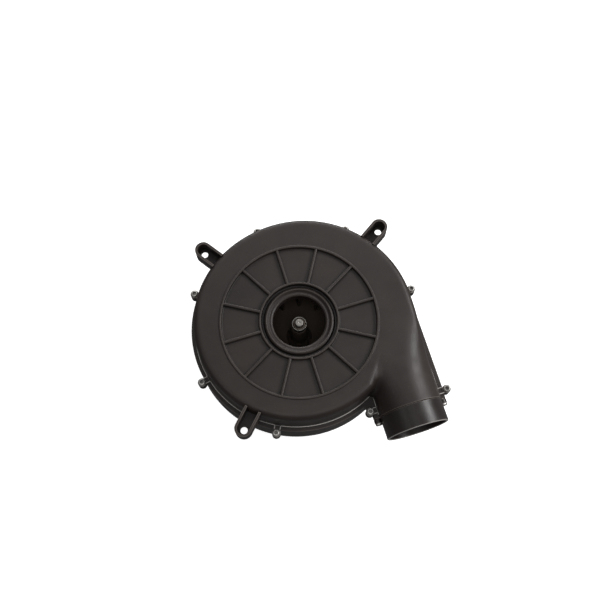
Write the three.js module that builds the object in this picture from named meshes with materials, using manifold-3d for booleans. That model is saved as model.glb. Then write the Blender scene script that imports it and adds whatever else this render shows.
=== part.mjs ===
// Draft-inducer (combustion) fan: a two-shell plastic volute with a round outlet collar,
// a centrifugal wheel, and a ventilated induction motor hung behind it on three isolators.
// Millimetres, +Z towards the inlet. The origin is the centre of the motor's flat end face.
import * as THREE from 'three';
import { mergeVertices } from 'three/addons/utils/BufferGeometryUtils.js';
import Module from 'manifold-3d';

const wasm = await Module();
wasm.setup();

// ---------------------------------------------------------------- driving dimensions

const GAP = 0.3;                       // clearance between neighbouring pieces

// Heights above the motor's end face
const CREST_Z = 144;                   // crest of the raised inlet ring
const FACE_Z = CREST_Z - 1;            // flat annulus round the ring
const PANEL_Z = CREST_Z - 3.5;         // recessed ribbed panel
const PARTING_Z = CREST_Z - 33;        // plane where the two shells meet
const OUTLET_Z = CREST_Z - 31.5;       // axis of the outlet
const REAR_Z = CREST_Z - 72;           // back face of the rear shell
const POST_Z = CREST_Z - 82.8;         // ends of the rear shell's three posts
const PLATE_Z = CREST_Z - 86.2;        // motor side of the mounting plate
const STATOR_TOP_Z = CREST_Z - 101.3;
const STATOR_LENGTH = 24;
const STATOR_LOW_Z = STATOR_TOP_Z - STATOR_LENGTH;

// Volute: wall radii at equal turns from the tongue to the start of the duct
const SCROLL_RADII = [93.8, 95.4, 98.9, 101.7, 102.6, 106.8, 110.8];
const SCROLL_START_R = SCROLL_RADII[0];
const SCROLL_END_R = SCROLL_RADII.at(-1);
const WALL = 2.6;
const EDGE_R = 6;                      // rounding of the outer edges
const DRAFT = Math.tan(THREE.MathUtils.degToRad(1.8));
const REAR_STEP = 4.5;                 // the rear shell's wall stands this far outside the front's
const DUCT_TURN = THREE.MathUtils.degToRad(17);
const DUCT_LEFT = 47.85;               // duct's inner side wall, from the shaft axis
const DUCT_END = 105.3;                // distance along the flow from the shaft axis to the seam
const TONGUE_TURN = DUCT_TURN - Math.acos(DUCT_LEFT / SCROLL_START_R);
const SCROLL_SWEEP = 2 * Math.PI - (DUCT_TURN - TONGUE_TURN);

// Outlet collar for 2 in. plastic pipe size
const TUBE_R = 30.15;
const TUBE_WALL = 2.5;
const TUBE_LENGTH = 22;
const SPIGOT_LENGTH = 10;
const TUBE_CENTRE = DUCT_LEFT + TUBE_R;
const LUG_Z = OUTLET_Z - 5;
const LUG_REACH = TUBE_R + 2.4;
const LUG_R = 3.8;

// Inlet
const RING_R = 74.5;
const INNER_RING_R = 37;
const THROAT_R = 25.2;
const THROAT_Z = CREST_Z - 13;
const PLATE_R = RING_R + 1.2;          // the inlet plate's edge, inside the scroll's front face
const RIB_COUNT = 12;
const RIB_WIDTH = 2;
const RIB_FIRST = THREE.MathUtils.degToRad(17.3);

// Mounting ears: hole centres, in plan
const EARS = [[-93.1, 71.3], [78.3, 95.6], [-50.7, -101.6]];
const EAR_HALF = 8;
const EAR_WALL = 2.2;
const EAR_FLOOR_Z = CREST_Z - 17.5;
const EAR_FLOOR = 3;
const EAR_HOLE_R = 3.4;

// Shell screws round the scroll, by angle in degrees,
const SCROLL_SCREWS = [20.3, 66, 112.6, 161, 209.8, 258];
// and beside the duct, by [distance along the flow, distance from the shaft axis]
const DUCT_SCREWS = [[97.7, 40.5], [97.9, 117.2]];
const BOSS_REACH = 7.8;                // outside the scroll's wall
const BOSS_R = 4.1;
const BOSS_TOP_Z = PARTING_Z + 2.4;
const BOSS_LOW_Z = PARTING_Z - 9;
const SCREW_R = 1.5;
const SCREW_HOLE_R = 1.9;

// Rotor
const SHAFT_R = 3.97;                  // 5/16 in.
const SHAFT_BORE_R = 4.3;
const SHAFT_TIP_Z = CREST_Z - 8.9;
const HUB_Z = CREST_Z - 13.4;
const HUB_R = 5.7;
const CLIP_R = 6.7;
const WHEEL_R = 76;
const EYE_R = 30.5;
const BLADE_COUNT = 12;
const WHEEL_TOP_Z = CREST_Z - 15;
const WHEEL_LOW_Z = CREST_Z - 62;
const FAN_R = 31;

// Motor
const MOTOR_R = 42;                    // 84 mm frame
const BELL_WALL = 2.2;
const SHOULDER_Z = STATOR_LOW_Z - 10.7; // where the bolts seat on the rear bell
const BOLT_HOLE_R = 2.2;
const BEARING_R = 11;                  // 8 x 22 x 7 ball bearing
const BEARING_WIDTH = 7;
const SEAT_R = BEARING_R + 2.5;        // outside of the bells' bearing seats
const CAP_R = 31;
const BOLT_CIRCLE_R = 37.5;
const BOLT_R = 1.75;
const POST_CIRCLE_R = 52;

// ---------------------------------------------------------------- finishes

const finish = (color, roughness, metalness) =>
  new THREE.MeshStandardMaterial({ color, roughness, metalness });

const FINISHES = {
  housing: finish(0x2f2c2b, 0.45, 0),
  collar: finish(0x2a2827, 0.45, 0),
  wheel: finish(0x1e1c1b, 0.5, 0),
  rubber: finish(0x161616, 0.85, 0),
  screw: finish(0xb9b7b2, 0.35, 1),
  shaft: finish(0x9a9895, 0.35, 1),
  frame: finish(0x8f9194, 0.45, 1),
  lamination: finish(0x5c5d60, 0.55, 1),
  copper: finish(0xa4552b, 0.4, 1),
  aluminium: finish(0xb4b6b8, 0.45, 1),
  terminal: finish(0xc0a868, 0.35, 1),
  nylon: finish(0xd8d4c8, 0.5, 0),
};

// ---------------------------------------------------------------- solids

function toSolid(source) {
  const bare = source.clone();
  bare.deleteAttribute('normal');
  bare.deleteAttribute('uv');
  const merged = mergeVertices(bare, 1e-4);
  const index = merged.index.array;
  const triangles = [];
  for (let i = 0; i < index.length; i += 3) {
    const [a, b, c] = [index[i], index[i + 1], index[i + 2]];
    if (a !== b && b !== c && c !== a) triangles.push(a, b, c);
  }
  return new wasm.Manifold(new wasm.Mesh({
    numProp: 3,
    vertProperties: new Float32Array(merged.attributes.position.array),
    triVerts: new Uint32Array(triangles),
  }));
}

function toGeometry(solid) {
  const mesh = solid.getMesh();
  const geometry = new THREE.BufferGeometry();
  geometry.setAttribute('position', new THREE.BufferAttribute(mesh.vertProperties, 3));
  geometry.setIndex(new THREE.BufferAttribute(mesh.triVerts, 1));
  geometry.computeVertexNormals();
  return geometry;
}

const join = (first, ...rest) => rest.reduce((sum, piece) => sum.add(piece), first);
const cut = (first, ...rest) => rest.reduce((left, piece) => left.subtract(piece), first);

// A body of revolution about Z from a closed outline of [radius, height] points.
function turned(outline, segments = 16) {
  const area = outline.reduce((sum, [r, z], i) => {
    const [nextR, nextZ] = outline[(i + 1) % outline.length];
    return sum + r * nextZ - nextR * z;
  }, 0);
  const points = outline.map(([r, z]) => new THREE.Vector2(r, z));
  if (area < 0) points.reverse();
  points.push(points[0].clone());
  const geometry = new THREE.LatheGeometry(points, segments);
  geometry.rotateX(Math.PI / 2);
  return toSolid(geometry);
}

const tube = (outer, inner, low, high, segments = 16) =>
  turned([[inner, low], [outer, low], [outer, high], [inner, high]], segments);

function rod(radius, low, high, segments = 16, x = 0, y = 0) {
  const geometry = new THREE.CylinderGeometry(radius, radius, high - low, segments);
  geometry.rotateX(Math.PI / 2);
  geometry.translate(x, y, (low + high) / 2);
  return toSolid(geometry);
}

function block(width, depth, height, x, y, z, turn = 0) {
  const geometry = new THREE.BoxGeometry(width, depth, height);
  geometry.translate(x, y, z);
  geometry.rotateZ(turn);
  return toSolid(geometry);
}

function slab(outline, low, high, rounding = 0) {
  const shape = new THREE.Shape(outline.map(([x, y]) => new THREE.Vector2(x, y)));
  const geometry = new THREE.ExtrudeGeometry(shape, {
    depth: high - low - rounding * 2,
    bevelEnabled: rounding > 0,
    bevelThickness: rounding,
    bevelSize: rounding,
    bevelOffset: -rounding,
    bevelSegments: 2,
    curveSegments: 12,
  });
  geometry.translate(0, 0, low + rounding);
  return toSolid(geometry);
}

// A closed skin through equal rings of points, capped at both ends.
function lofted(rings) {
  const count = rings[0].length;
  const positions = [];
  const index = [];
  for (const ring of rings) for (const point of ring) positions.push(point.x, point.y, point.z);
  for (let r = 0; r + 1 < rings.length; r++) {
    for (let i = 0; i < count; i++) {
      const j = (i + 1) % count;
      const [a, b] = [r * count + i, r * count + j];
      index.push(a, b, b + count, a, b + count, a + count);
    }
  }
  const last = (rings.length - 1) * count;
  for (let i = 1; i + 1 < count; i++) {
    index.push(0, i + 1, i, last, last + i, last + i + 1);
  }
  const geometry = new THREE.BufferGeometry();
  geometry.setAttribute('position', new THREE.Float32BufferAttribute(positions, 3));
  geometry.setIndex(index);
  return toSolid(geometry);
}

const smooth = (low, high, x) => THREE.MathUtils.smoothstep(x, low, high);
const polar = (radius, angle) => [radius * Math.cos(angle), radius * Math.sin(angle)];
const around = (count, first = 0) =>
  Array.from({ length: count }, (_, i) => first + i * 2 * Math.PI / count);
const radians = THREE.MathUtils.degToRad;

// ---------------------------------------------------------------- volute layout

// A plan point given by its distance along the flow and from the shaft axis.
function ductPoint(along, across) {
  const [cos, sin] = [Math.cos(DUCT_TURN), Math.sin(DUCT_TURN)];
  return [across * cos + along * sin, across * sin - along * cos];
}

const scrollGrowth = new THREE.SplineCurve(SCROLL_RADII.map((r, i) => new THREE.Vector2(i, r)));

function scrollRadius(angle) {
  const turn = THREE.MathUtils.euclideanModulo(TONGUE_TURN - angle, 2 * Math.PI);
  return scrollGrowth.getPoint(turn / SCROLL_SWEEP).y;
}

// The scroll's outline, closed by a chord across the mouth of the duct.
function scrollOutline(offset, steps = 40) {
  return Array.from({ length: steps + 1 }, (_, i) =>
    polar(scrollGrowth.getPoint(i / steps).y + offset, TONGUE_TURN - SCROLL_SWEEP * i / steps));
}

// The scroll's body from the parting plane to a rounded edge at `end`, above or below.
// It spreads by `offset` at the parting plane; the front narrows towards its face.
function scrollBody(offset, end, rounding) {
  const side = Math.sign(end - PARTING_Z);
  const narrowing = (z) => Math.max(0, z - PARTING_Z) * DRAFT;
  const corner = end - side * rounding;
  const levels = [[PARTING_Z - side * 8, 0], [corner, narrowing(corner)]];
  for (const degrees of [30, 60, 90]) {
    const turn = radians(degrees);
    const z = corner + side * rounding * Math.sin(turn);
    levels.push([z, narrowing(corner) + rounding * (1 - Math.cos(turn))]);
  }
  const rings = levels.map(([z, inset]) =>
    scrollOutline(offset - inset).map(([x, y]) => new THREE.Vector3(x, y, z)));
  return lofted(side > 0 ? rings.reverse() : rings);
}

// One section of the duct: nearly square where it leaves the scroll, round at the seam.
function ductSection(along, offset, low, steps = 24) {
  const t = THREE.MathUtils.clamp(along / DUCT_END, 0, 1);
  const power = 0.2 + 0.8 * smooth(30, 98, along);
  const endR = TUBE_R + 0.35;
  const right = THREE.MathUtils.lerp(SCROLL_END_R, TUBE_CENTRE + endR, t);
  const left = THREE.MathUtils.lerp(DUCT_LEFT, TUBE_CENTRE - endR, t);
  const halfWidth = (right - left) / 2 + offset;
  const top = THREE.MathUtils.lerp(FACE_Z, OUTLET_Z + endR, t);
  const bottom = THREE.MathUtils.lerp(low, OUTLET_Z - endR, t);
  const halfHeight = (top - bottom) / 2 + offset;
  const round = (value) => Math.sign(value) * Math.abs(value) ** power;
  return around(steps).map((angle) => {
    const across = (left + right) / 2 + halfWidth * round(Math.cos(angle));
    const [x, y] = ductPoint(along, across);
    return new THREE.Vector3(x, y, (top + bottom) / 2 + halfHeight * round(Math.sin(angle)));
  });
}

function duct(offset, low, end = DUCT_END) {
  const stations = [0, 30, 48, 64, 78, 92, end];
  return lofted(stations.map((along) => ductSection(along, offset, low)));
}

// Flat strip of the duct in plan, narrower by `taper` at the seam. It starts a little
// inside the scroll, and its inner side leaves the scroll's wall past the tongue.
function ductStrip(margin, low, high, taper) {
  const [start, fork, end] = [-2, 70, DUCT_END - 3];
  const right = (along) => SCROLL_END_R + margin - taper * Math.max(0, along) / DUCT_END;
  return slab([
    ductPoint(start, TUBE_CENTRE), ductPoint(start, right(start)), ductPoint(0, right(0)),
    ductPoint(end, right(end)), ductPoint(end, DUCT_LEFT - margin),
    ductPoint(fork, DUCT_LEFT - margin),
  ], low, high);
}

// The flange fills the corner between the scroll, the duct's inner side and the boss there.
function cornerWeb(low, high) {
  const [along, across] = DUCT_SCREWS[0];
  return slab([
    ductPoint(along - 28, DUCT_LEFT + 2), ductPoint(along, DUCT_LEFT + 2),
    ductPoint(along, across - 2), ductPoint(along - 12, across - 4.5),
  ], low, high);
}

const below = (z) => block(400, 400, 200, 0, 0, z - 100);
const above = (z) => block(400, 400, 200, 0, 0, z + 100);

// Each boss is [x, y, direction away from the wall].
function bossCentres() {
  const onScroll = SCROLL_SCREWS.map((degrees) => {
    const angle = radians(degrees);
    return [...polar(scrollRadius(angle) + BOSS_REACH, angle), angle];
  });
  const onDuct = DUCT_SCREWS.map(([along, across]) => {
    const outward = across > TUBE_CENTRE ? DUCT_TURN : DUCT_TURN + Math.PI;
    return [...ductPoint(along, across), outward];
  });
  return [...onScroll, ...onDuct];
}

// A short web that ties a boss to the wall behind it.
function bossWeb([x, y, outward], low, high, width) {
  const geometry = new THREE.BoxGeometry(12, width, high - low);
  geometry.translate(-6, 0, (low + high) / 2);
  geometry.rotateZ(outward);
  geometry.translate(x, y, 0);
  return toSolid(geometry);
}

// ---------------------------------------------------------------- housing

// Everything turned round the inlet: outer ring, panel, inner ring, groove and bell mouth.
function inletPlate() {
  const z = (drop) => CREST_Z - drop;
  const crest = [
    [PLATE_R + 1.3, FACE_Z], [RING_R + 1.1, FACE_Z], [RING_R + 0.8, CREST_Z],
    [RING_R - 0.9, CREST_Z], [RING_R - 1.5, PANEL_Z],
  ];
  const innerRing = [
    [INNER_RING_R + 1.3, PANEL_Z], [INNER_RING_R + 0.9, z(0.2)], [INNER_RING_R - 0.9, z(0.2)],
    [INNER_RING_R - 1.4, z(5)], [INNER_RING_R - 3.2, z(5)],
  ];
  const bellMouth = [
    [THROAT_R + 7.4, z(2.4)], [THROAT_R + 5.8, z(1.2)], [THROAT_R + 3.2, z(3.2)],
    [THROAT_R + 1.2, z(3.2)], [THROAT_R, z(4.4)], [THROAT_R, THROAT_Z],
    [THROAT_R + 2.2, THROAT_Z], [THROAT_R + 3.4, z(7.8)],
  ];
  const underside = [
    [INNER_RING_R + 0.8, z(7.6)], [INNER_RING_R + 1.6, PANEL_Z - WALL],
    [RING_R + 1.1, PANEL_Z - WALL], [PLATE_R + 1.3, FACE_Z - WALL],
  ];
  return turned([...crest, ...innerRing, ...bellMouth, ...underside], 40);
}

function ribs() {
  return around(RIB_COUNT, RIB_FIRST).map((angle) =>
    block(RING_R - INNER_RING_R, RIB_WIDTH, 3.2, (RING_R + INNER_RING_R) / 2, 0, PANEL_Z + 0.9, angle));
}

const wallAt = ([x, y]) => scrollRadius(Math.atan2(y, x));

// A mounting ear: a channel open towards the inlet, with its screw hole in the floor.
function ear([x, y], half, low, high, inner) {
  const angle = Math.atan2(y, x);
  const reach = Math.hypot(x, y);
  const tip = rod(half, low, high, 16, x, y);
  const middle = (reach + inner) / 2;
  return join(tip, block(reach - inner, half * 2, high - low, middle, 0, (low + high) / 2, angle));
}

function frontShell() {
  const outer = join(scrollBody(0, FACE_Z, EDGE_R), duct(0, REAR_Z));
  const inner = join(
    scrollBody(-WALL, FACE_Z - WALL, EDGE_R - WALL),
    duct(-WALL, REAR_Z, DUCT_END + 1),
  );
  const low = PARTING_Z + 0.6;
  const rim = join(
    slab(scrollOutline(0.8), low, low + 1.5),
    ductStrip(0.8, low, low + 1.5, 2.5),
  );
  const bosses = bossCentres().map((boss) => join(
    rod(BOSS_R, low, BOSS_TOP_Z, 12, boss[0], boss[1]),
    bossWeb(boss, low, BOSS_TOP_Z, 6),
  ));
  const ears = EARS.map((centre) =>
    ear(centre, EAR_HALF, EAR_FLOOR_Z, FACE_Z, wallAt(centre) - 2));
  const cavity = inner.intersect(above(low - 2));
  let shell = join(outer, rim, ...bosses, ...ears);
  shell = cut(shell, below(low), cavity, rod(PLATE_R - 0.3, CREST_Z - 20, CREST_Z + 5, 40));
  shell = join(shell, inletPlate(), ...ribs());
  for (const centre of EARS) {
    shell = cut(
      shell,
      ear(centre, EAR_HALF - EAR_WALL, EAR_FLOOR_Z + EAR_FLOOR, FACE_Z + 2, wallAt(centre) + 0.5),
      rod(EAR_HOLE_R, EAR_FLOOR_Z - 1, FACE_Z, 16, ...centre),
    );
  }
  for (const [x, y] of bossCentres()) {
    shell = cut(shell, rod(SCREW_HOLE_R, low - 1, BOSS_TOP_Z + 1, 8, x, y));
  }
  return shell;
}

function postCentres() {
  return around(3, radians(30)).map((angle) => polar(POST_CIRCLE_R, angle));
}

function rearShell() {
  const high = PARTING_Z - 0.6;
  const ledge = high - 3.4;
  const outer = join(scrollBody(REAR_STEP, REAR_Z, EDGE_R), duct(0, REAR_Z));
  const flange = join(
    slab(scrollOutline(REAR_STEP), ledge, high),
    ductStrip(REAR_STEP, ledge, high, 1),
    cornerWeb(ledge, high),
  );
  const cavity = join(
    scrollBody(REAR_STEP - WALL, REAR_Z + WALL, EDGE_R - WALL).intersect(below(ledge)),
    slab(scrollOutline(-WALL), ledge - 1, high + 1),
    duct(-WALL, REAR_Z, DUCT_END + 1).intersect(below(high + 1)),
  );
  const bosses = bossCentres().map((boss) => join(
    rod(BOSS_R, BOSS_LOW_Z, high, 12, boss[0], boss[1]),
    bossWeb(boss, ledge, high, 6),
  ));
  const posts = postCentres().map(([x, y]) => rod(6, POST_Z, REAR_Z + 1, 12, x, y));
  const lugs = [-1, 1].map((side) => lugRod(side, LUG_R, DUCT_END - 7, DUCT_END));
  let shell = join(outer, flange, ...bosses, ...lugs);
  shell = cut(shell, above(high), cavity, rod(9.6, REAR_Z - 1, REAR_Z + 9, 16));
  shell = join(shell, ...posts);
  for (const [x, y] of bossCentres()) {
    shell = cut(shell, rod(SCREW_HOLE_R, BOSS_LOW_Z + 1.5, high + 1, 8, x, y));
  }
  for (const [x, y] of postCentres()) {
    shell = cut(shell, rod(SCREW_HOLE_R, POST_Z - 1, POST_Z + 9, 8, x, y));
  }
  for (const side of [-1, 1]) {
    shell = cut(shell, lugRod(side, SCREW_HOLE_R, DUCT_END - 6, DUCT_END + 1, 8));
  }
  return shell;
}

// The sealing cord between the shells follows the front shell's wall.
function housingGasket() {
  const [low, high] = [PARTING_Z - 0.4, PARTING_Z + 0.4];
  const plan = (offset) => {
    const flat = duct(offset, REAR_Z).intersect(above(low)).intersect(below(high));
    return join(slab(scrollOutline(offset), low, high), flat);
  };
  const mouth = slab([
    ductPoint(DUCT_END - 3, 0), ductPoint(DUCT_END + 3, 0),
    ductPoint(DUCT_END + 3, TUBE_CENTRE * 2), ductPoint(DUCT_END - 3, TUBE_CENTRE * 2),
  ], low - 1, high + 1);
  return cut(plan(-0.5), plan(-WALL + 0.4), mouth);
}

// ---------------------------------------------------------------- outlet collar

// A rod along the outlet's axis, beside the tube at the height of the lugs.
function lugRod(side, radius, from, to, segments = 12) {
  const geometry = new THREE.CylinderGeometry(radius, radius, to - from, segments);
  geometry.rotateZ(DUCT_TURN);
  const [x, y] = ductPoint((from + to) / 2, TUBE_CENTRE + side * LUG_REACH);
  geometry.translate(x, y, LUG_Z);
  return toSolid(geometry);
}

function alongOutlet(outline, segments) {
  const [x, y] = ductPoint(0, TUBE_CENTRE);
  return turned(outline, segments)
    .rotate([90, 0, 0])
    .rotate([0, 0, THREE.MathUtils.radToDeg(DUCT_TURN)])
    .translate([x, y, OUTLET_Z]);
}

function outletCollar() {
  const [seam, mouth] = [DUCT_END + GAP, DUCT_END + TUBE_LENGTH];
  const bore = TUBE_R - TUBE_WALL;
  const sleeve = alongOutlet([
    [25, seam - SPIGOT_LENGTH], [27.4, seam - SPIGOT_LENGTH], [27.4, seam], [TUBE_R, seam],
    [TUBE_R, mouth - 0.8], [TUBE_R - 0.6, mouth], [bore + 0.6, mouth], [bore, mouth - 0.8],
    [bore, seam + 3], [25, seam],
  ], 32);
  let collar = sleeve;
  for (const side of [-1, 1]) {
    const lug = lugRod(side, LUG_R, seam, seam + 4);
    collar = join(collar, cut(lug, alongOutlet([
      [0, seam - 1], [bore + 1, seam - 1], [bore + 1, seam + 8], [0, seam + 8],
    ], 32)));
  }
  for (const side of [-1, 1]) {
    collar = cut(collar, lugRod(side, SCREW_HOLE_R, seam - 1, seam + 6, 8));
  }
  return collar;
}

function collarScrew(side) {
  const seat = DUCT_END + GAP + 4 + 0.2;
  const head = lugRod(side, 3, seat, seat + 2.4, 6);
  return join(head, lugRod(side, SCREW_R, DUCT_END - 5, seat + 0.5, 8));
}

// ---------------------------------------------------------------- fasteners

// A round-headed screw standing on the boss, with a six-sided recess.
function shellScrew() {
  const seat = BOSS_TOP_Z + 0.2;
  const head = turned([
    [0, seat], [3.4, seat], [3.4, seat + 1.2], [2.6, seat + 2.2], [0, seat + 2.2],
  ], 12);
  const body = join(head, rod(SCREW_R, BOSS_LOW_Z + 2.2, seat + 0.5, 8));
  return cut(body, rod(1.5, seat + 1, seat + 3, 6));
}

// A hex washer-head screw that enters a post from the motor side.
function plateScrew() {
  const seat = PLATE_Z - 1.6;
  const washer = rod(5, seat - 1, seat, 12);
  const hex = rod(3.6, seat - 4, seat - 0.5, 6);
  return join(washer, hex, rod(SCREW_R, seat - 0.5, POST_Z + 8, 8));
}

function throughBolt() {
  const seat = SHOULDER_Z - 0.2;
  return join(rod(3.4, seat - 3, seat, 6), rod(BOLT_R, seat - 1, PLATE_Z + 7.5, 8));
}

function throughNut() {
  const low = PLATE_Z + 2.2;
  return cut(rod(3.6, low, low + 3, 6), rod(BOLT_R + GAP + 0.1, low - 1, low + 4, 8));
}

// ---------------------------------------------------------------- rotor

function shaft() {
  const low = 4;
  return turned([
    [0, low], [SHAFT_R - 0.6, low], [SHAFT_R, low + 0.6],
    [SHAFT_R, SHAFT_TIP_Z - 0.6], [SHAFT_R - 0.6, SHAFT_TIP_Z], [0, SHAFT_TIP_Z],
  ], 20);
}

// A backward-curved blade, in plan, as a band along an arc.
function bladeOutline() {
  const [from, to, lean, half] = [EYE_R + 1.5, WHEEL_R - 0.5, radians(38), 1];
  const last = 4;
  const middle = Array.from({ length: last + 1 }, (_, i) => {
    const t = i / last;
    return polar(from + (to - from) * t, lean * t ** 1.3);
  });
  const left = middle.map(([x, y], i) => {
    const [x0, y0] = middle[Math.max(0, i - 1)];
    const [x1, y1] = middle[Math.min(last, i + 1)];
    const length = Math.hypot(x1 - x0, y1 - y0);
    return [[x - half * (y1 - y0) / length, y + half * (x1 - x0) / length],
      [x + half * (y1 - y0) / length, y - half * (x1 - x0) / length]];
  });
  return [...left.map((pair) => pair[1]), ...left.map((pair) => pair[0]).reverse()];
}

function impeller() {
  const hub = turned([
    [SHAFT_BORE_R, WHEEL_LOW_Z - 2], [13, WHEEL_LOW_Z - 2], [13, WHEEL_LOW_Z + 2],
    [9, WHEEL_LOW_Z + 10], [HUB_R + 1.5, HUB_Z - 8], [HUB_R, HUB_Z - 8], [HUB_R, HUB_Z],
    [SHAFT_BORE_R, HUB_Z],
  ], 20);
  const backplate = tube(WHEEL_R, 10, WHEEL_LOW_Z, WHEEL_LOW_Z + 2, 32);
  const shroud = turned([
    [EYE_R, WHEEL_TOP_Z + 4], [EYE_R + 2, WHEEL_TOP_Z + 4], [EYE_R + 2.6, WHEEL_TOP_Z],
    [WHEEL_R, WHEEL_TOP_Z], [WHEEL_R, WHEEL_TOP_Z - 2], [EYE_R, WHEEL_TOP_Z - 2],
  ], 32);
  const blade = slab(bladeOutline(), WHEEL_LOW_Z + 1, WHEEL_TOP_Z - 1);
  const blades = around(BLADE_COUNT).map((turn) => blade.rotate([0, 0, THREE.MathUtils.radToDeg(turn)]));
  return join(hub, backplate, shroud, ...blades);
}

function hubClip() {
  const band = tube(CLIP_R + 0.3, HUB_R + GAP, HUB_Z - 7, HUB_Z + 0.4, 20);
  return cut(band, block(4, 1.6, 20, CLIP_R, 0, HUB_Z));
}

function coolingFan() {
  const high = REAR_Z - 3.4;
  const hub = tube(9, SHAFT_BORE_R, high - 7.2, high, 16);
  const disc = tube(FAN_R, 8, high - 1.5, high, 28);
  const blades = around(10).map((angle) =>
    block(FAN_R - 8.5, 1.5, 6, (FAN_R + 7.5) / 2, 0, high - 4, angle));
  return join(hub, disc, ...blades);
}

function rotorCore() {
  return tube(24, SHAFT_BORE_R, STATOR_LOW_Z, STATOR_TOP_Z, 28);
}

function rotorEndRing(low, high) {
  return tube(23.4, 12, low, high, 28);
}

// ---------------------------------------------------------------- motor

function shaftSeal() {
  return turned([
    [SHAFT_BORE_R, REAR_Z - 1.2], [13, REAR_Z - 1.2], [13, REAR_Z - 0.2], [9.2, REAR_Z - 0.2],
    [9.2, REAR_Z + 3.6], [6.2, REAR_Z + 4.6], [SHAFT_BORE_R, REAR_Z + 4.6],
  ], 16);
}

function motorPlate() {
  const high = PLATE_Z + 2;
  let plate = rod(44, PLATE_Z, high, 32);
  for (const [x, y] of postCentres()) plate = join(plate, rod(10, PLATE_Z, high, 14, x, y));
  plate = cut(plate, rod(29, PLATE_Z - 1, high + 1, 24));
  for (const [x, y] of postCentres()) plate = cut(plate, rod(4.6, PLATE_Z - 1, high + 1, 12, x, y));
  for (const [x, y] of boltCentres()) {
    plate = cut(plate, rod(BOLT_HOLE_R, PLATE_Z - 1, high + 1, 8, x, y));
  }
  return plate;
}

function boltCentres() {
  return around(4, radians(45)).map((angle) => polar(BOLT_CIRCLE_R, angle));
}

// A spool-shaped rubber isolator with the plate in its groove.
function isolator() {
  const [low, high] = [PLATE_Z - 1.4, PLATE_Z + 3.2];
  return turned([
    [SCREW_HOLE_R, low], [6.6, low], [6.6, PLATE_Z - GAP], [4.2, PLATE_Z - GAP],
    [4.2, PLATE_Z + 2 + GAP], [6.6, PLATE_Z + 2 + GAP], [6.6, high], [SCREW_HOLE_R, high],
  ], 12);
}

// Radial slots through a disc or wall, given by their middle radius and height.
function vents(solid, count, radius, length, width, middle, height) {
  return around(count).reduce(
    (left, angle) => left.subtract(block(length, width, height, radius, 0, middle, angle)), solid);
}

function motorFrontBell() {
  const high = PLATE_Z - 0.2;
  const low = STATOR_TOP_Z + 0.2;
  const shell = turned([
    [6.5, high], [MOTOR_R - 2, high], [MOTOR_R, high - 2], [MOTOR_R, low],
    [MOTOR_R - BELL_WALL, low], [MOTOR_R - BELL_WALL, high - 2.5],
    [SEAT_R, high - 2.5], [SEAT_R, high - 9.6], [BEARING_R + GAP, high - 9.6],
    [BEARING_R + GAP, high - 2], [6.5, high - 2],
  ], 28);
  const vented = vents(shell, 6, 24, 14, 8, high, 8);
  return boltCentres().reduce(
    (left, [x, y]) => left.subtract(rod(BOLT_HOLE_R, high - 5, high + 1, 8, x, y)), vented);
}

function motorRearBell() {
  const high = STATOR_LOW_Z - 0.2;
  const inner = MOTOR_R - BELL_WALL;
  const floor = 2.5;
  const shell = turned([
    [0, 0], [CAP_R, 0], [CAP_R + 1.6, 1.2], [CAP_R + 2.4, SHOULDER_Z],
    [MOTOR_R - 1.4, SHOULDER_Z], [MOTOR_R, SHOULDER_Z + 1.4], [MOTOR_R, high], [inner, high],
    [inner, SHOULDER_Z + BELL_WALL], [CAP_R + 0.2, SHOULDER_Z + BELL_WALL], [CAP_R - 0.6, floor],
    [SEAT_R, floor], [SEAT_R, floor + 8.5], [BEARING_R + GAP, floor + 8.5],
    [BEARING_R + GAP, floor], [0, floor],
  ], 28);
  const vented = vents(shell, 8, 23, 11, 6, 1, 8);
  return boltCentres().reduce((left, [x, y]) => left.subtract(
    rod(BOLT_HOLE_R, SHOULDER_Z - 1, SHOULDER_Z + 4, 8, x, y)), vented);
}

// Half of one stator slot as [radius, degrees from its middle], from the bore outwards.
const SLOT = [[24.6, 10], [24.6, 4], [26, 4], [26.6, 9], [34.8, 8.5]];

// Laminations with open slots round the bore.
function statorCore() {
  const outline = new THREE.Shape().absarc(0, 0, MOTOR_R, 0, 2 * Math.PI);
  const points = [];
  for (const angle of around(12)) {
    for (const [r, half] of SLOT) points.push(polar(r, angle - radians(half)));
    for (const [r, half] of SLOT.toReversed()) points.push(polar(r, angle + radians(half)));
  }
  outline.holes.push(new THREE.Path(points.map(([x, y]) => new THREE.Vector2(x, y))));
  const geometry = new THREE.ExtrudeGeometry(outline, {
    depth: STATOR_LENGTH, bevelEnabled: false, curveSegments: 32,
  });
  geometry.translate(0, 0, STATOR_LOW_Z);
  return boltCentres().reduce(
    (left, [x, y]) => left.subtract(
      rod(BOLT_HOLE_R, STATOR_LOW_Z - 1, STATOR_TOP_Z + 1, 8, x, y)),
    toSolid(geometry));
}

// Coils: a rounded bundle of end turns at each end, joined through the slots.
function statorWinding() {
  const bundle = (low, high) => turned([
    [27, low], [32.6, low], [34.4, low + 1.8], [34.4, high - 1.8], [32.6, high], [27, high],
  ], 24);
  const bars = around(12).map((angle) =>
    block(5, 5.6, STATOR_LENGTH + 4, 30.7, 0, (STATOR_LOW_Z + STATOR_TOP_Z) / 2, angle));
  const front = bundle(STATOR_TOP_Z + GAP, STATOR_TOP_Z + 7);
  const rear = bundle(STATOR_LOW_Z - 7, STATOR_LOW_Z - GAP);
  return join(front, rear, ...bars);
}

// Ball bearing with a shallow groove between its rings.
function bearing(low) {
  const high = low + BEARING_WIDTH;
  return turned([
    [SHAFT_BORE_R, low], [6, low], [6.4, low + 0.5], [8.8, low + 0.5], [9.2, low],
    [BEARING_R, low], [BEARING_R, high], [SHAFT_BORE_R, high],
  ], 16);
}

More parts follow.
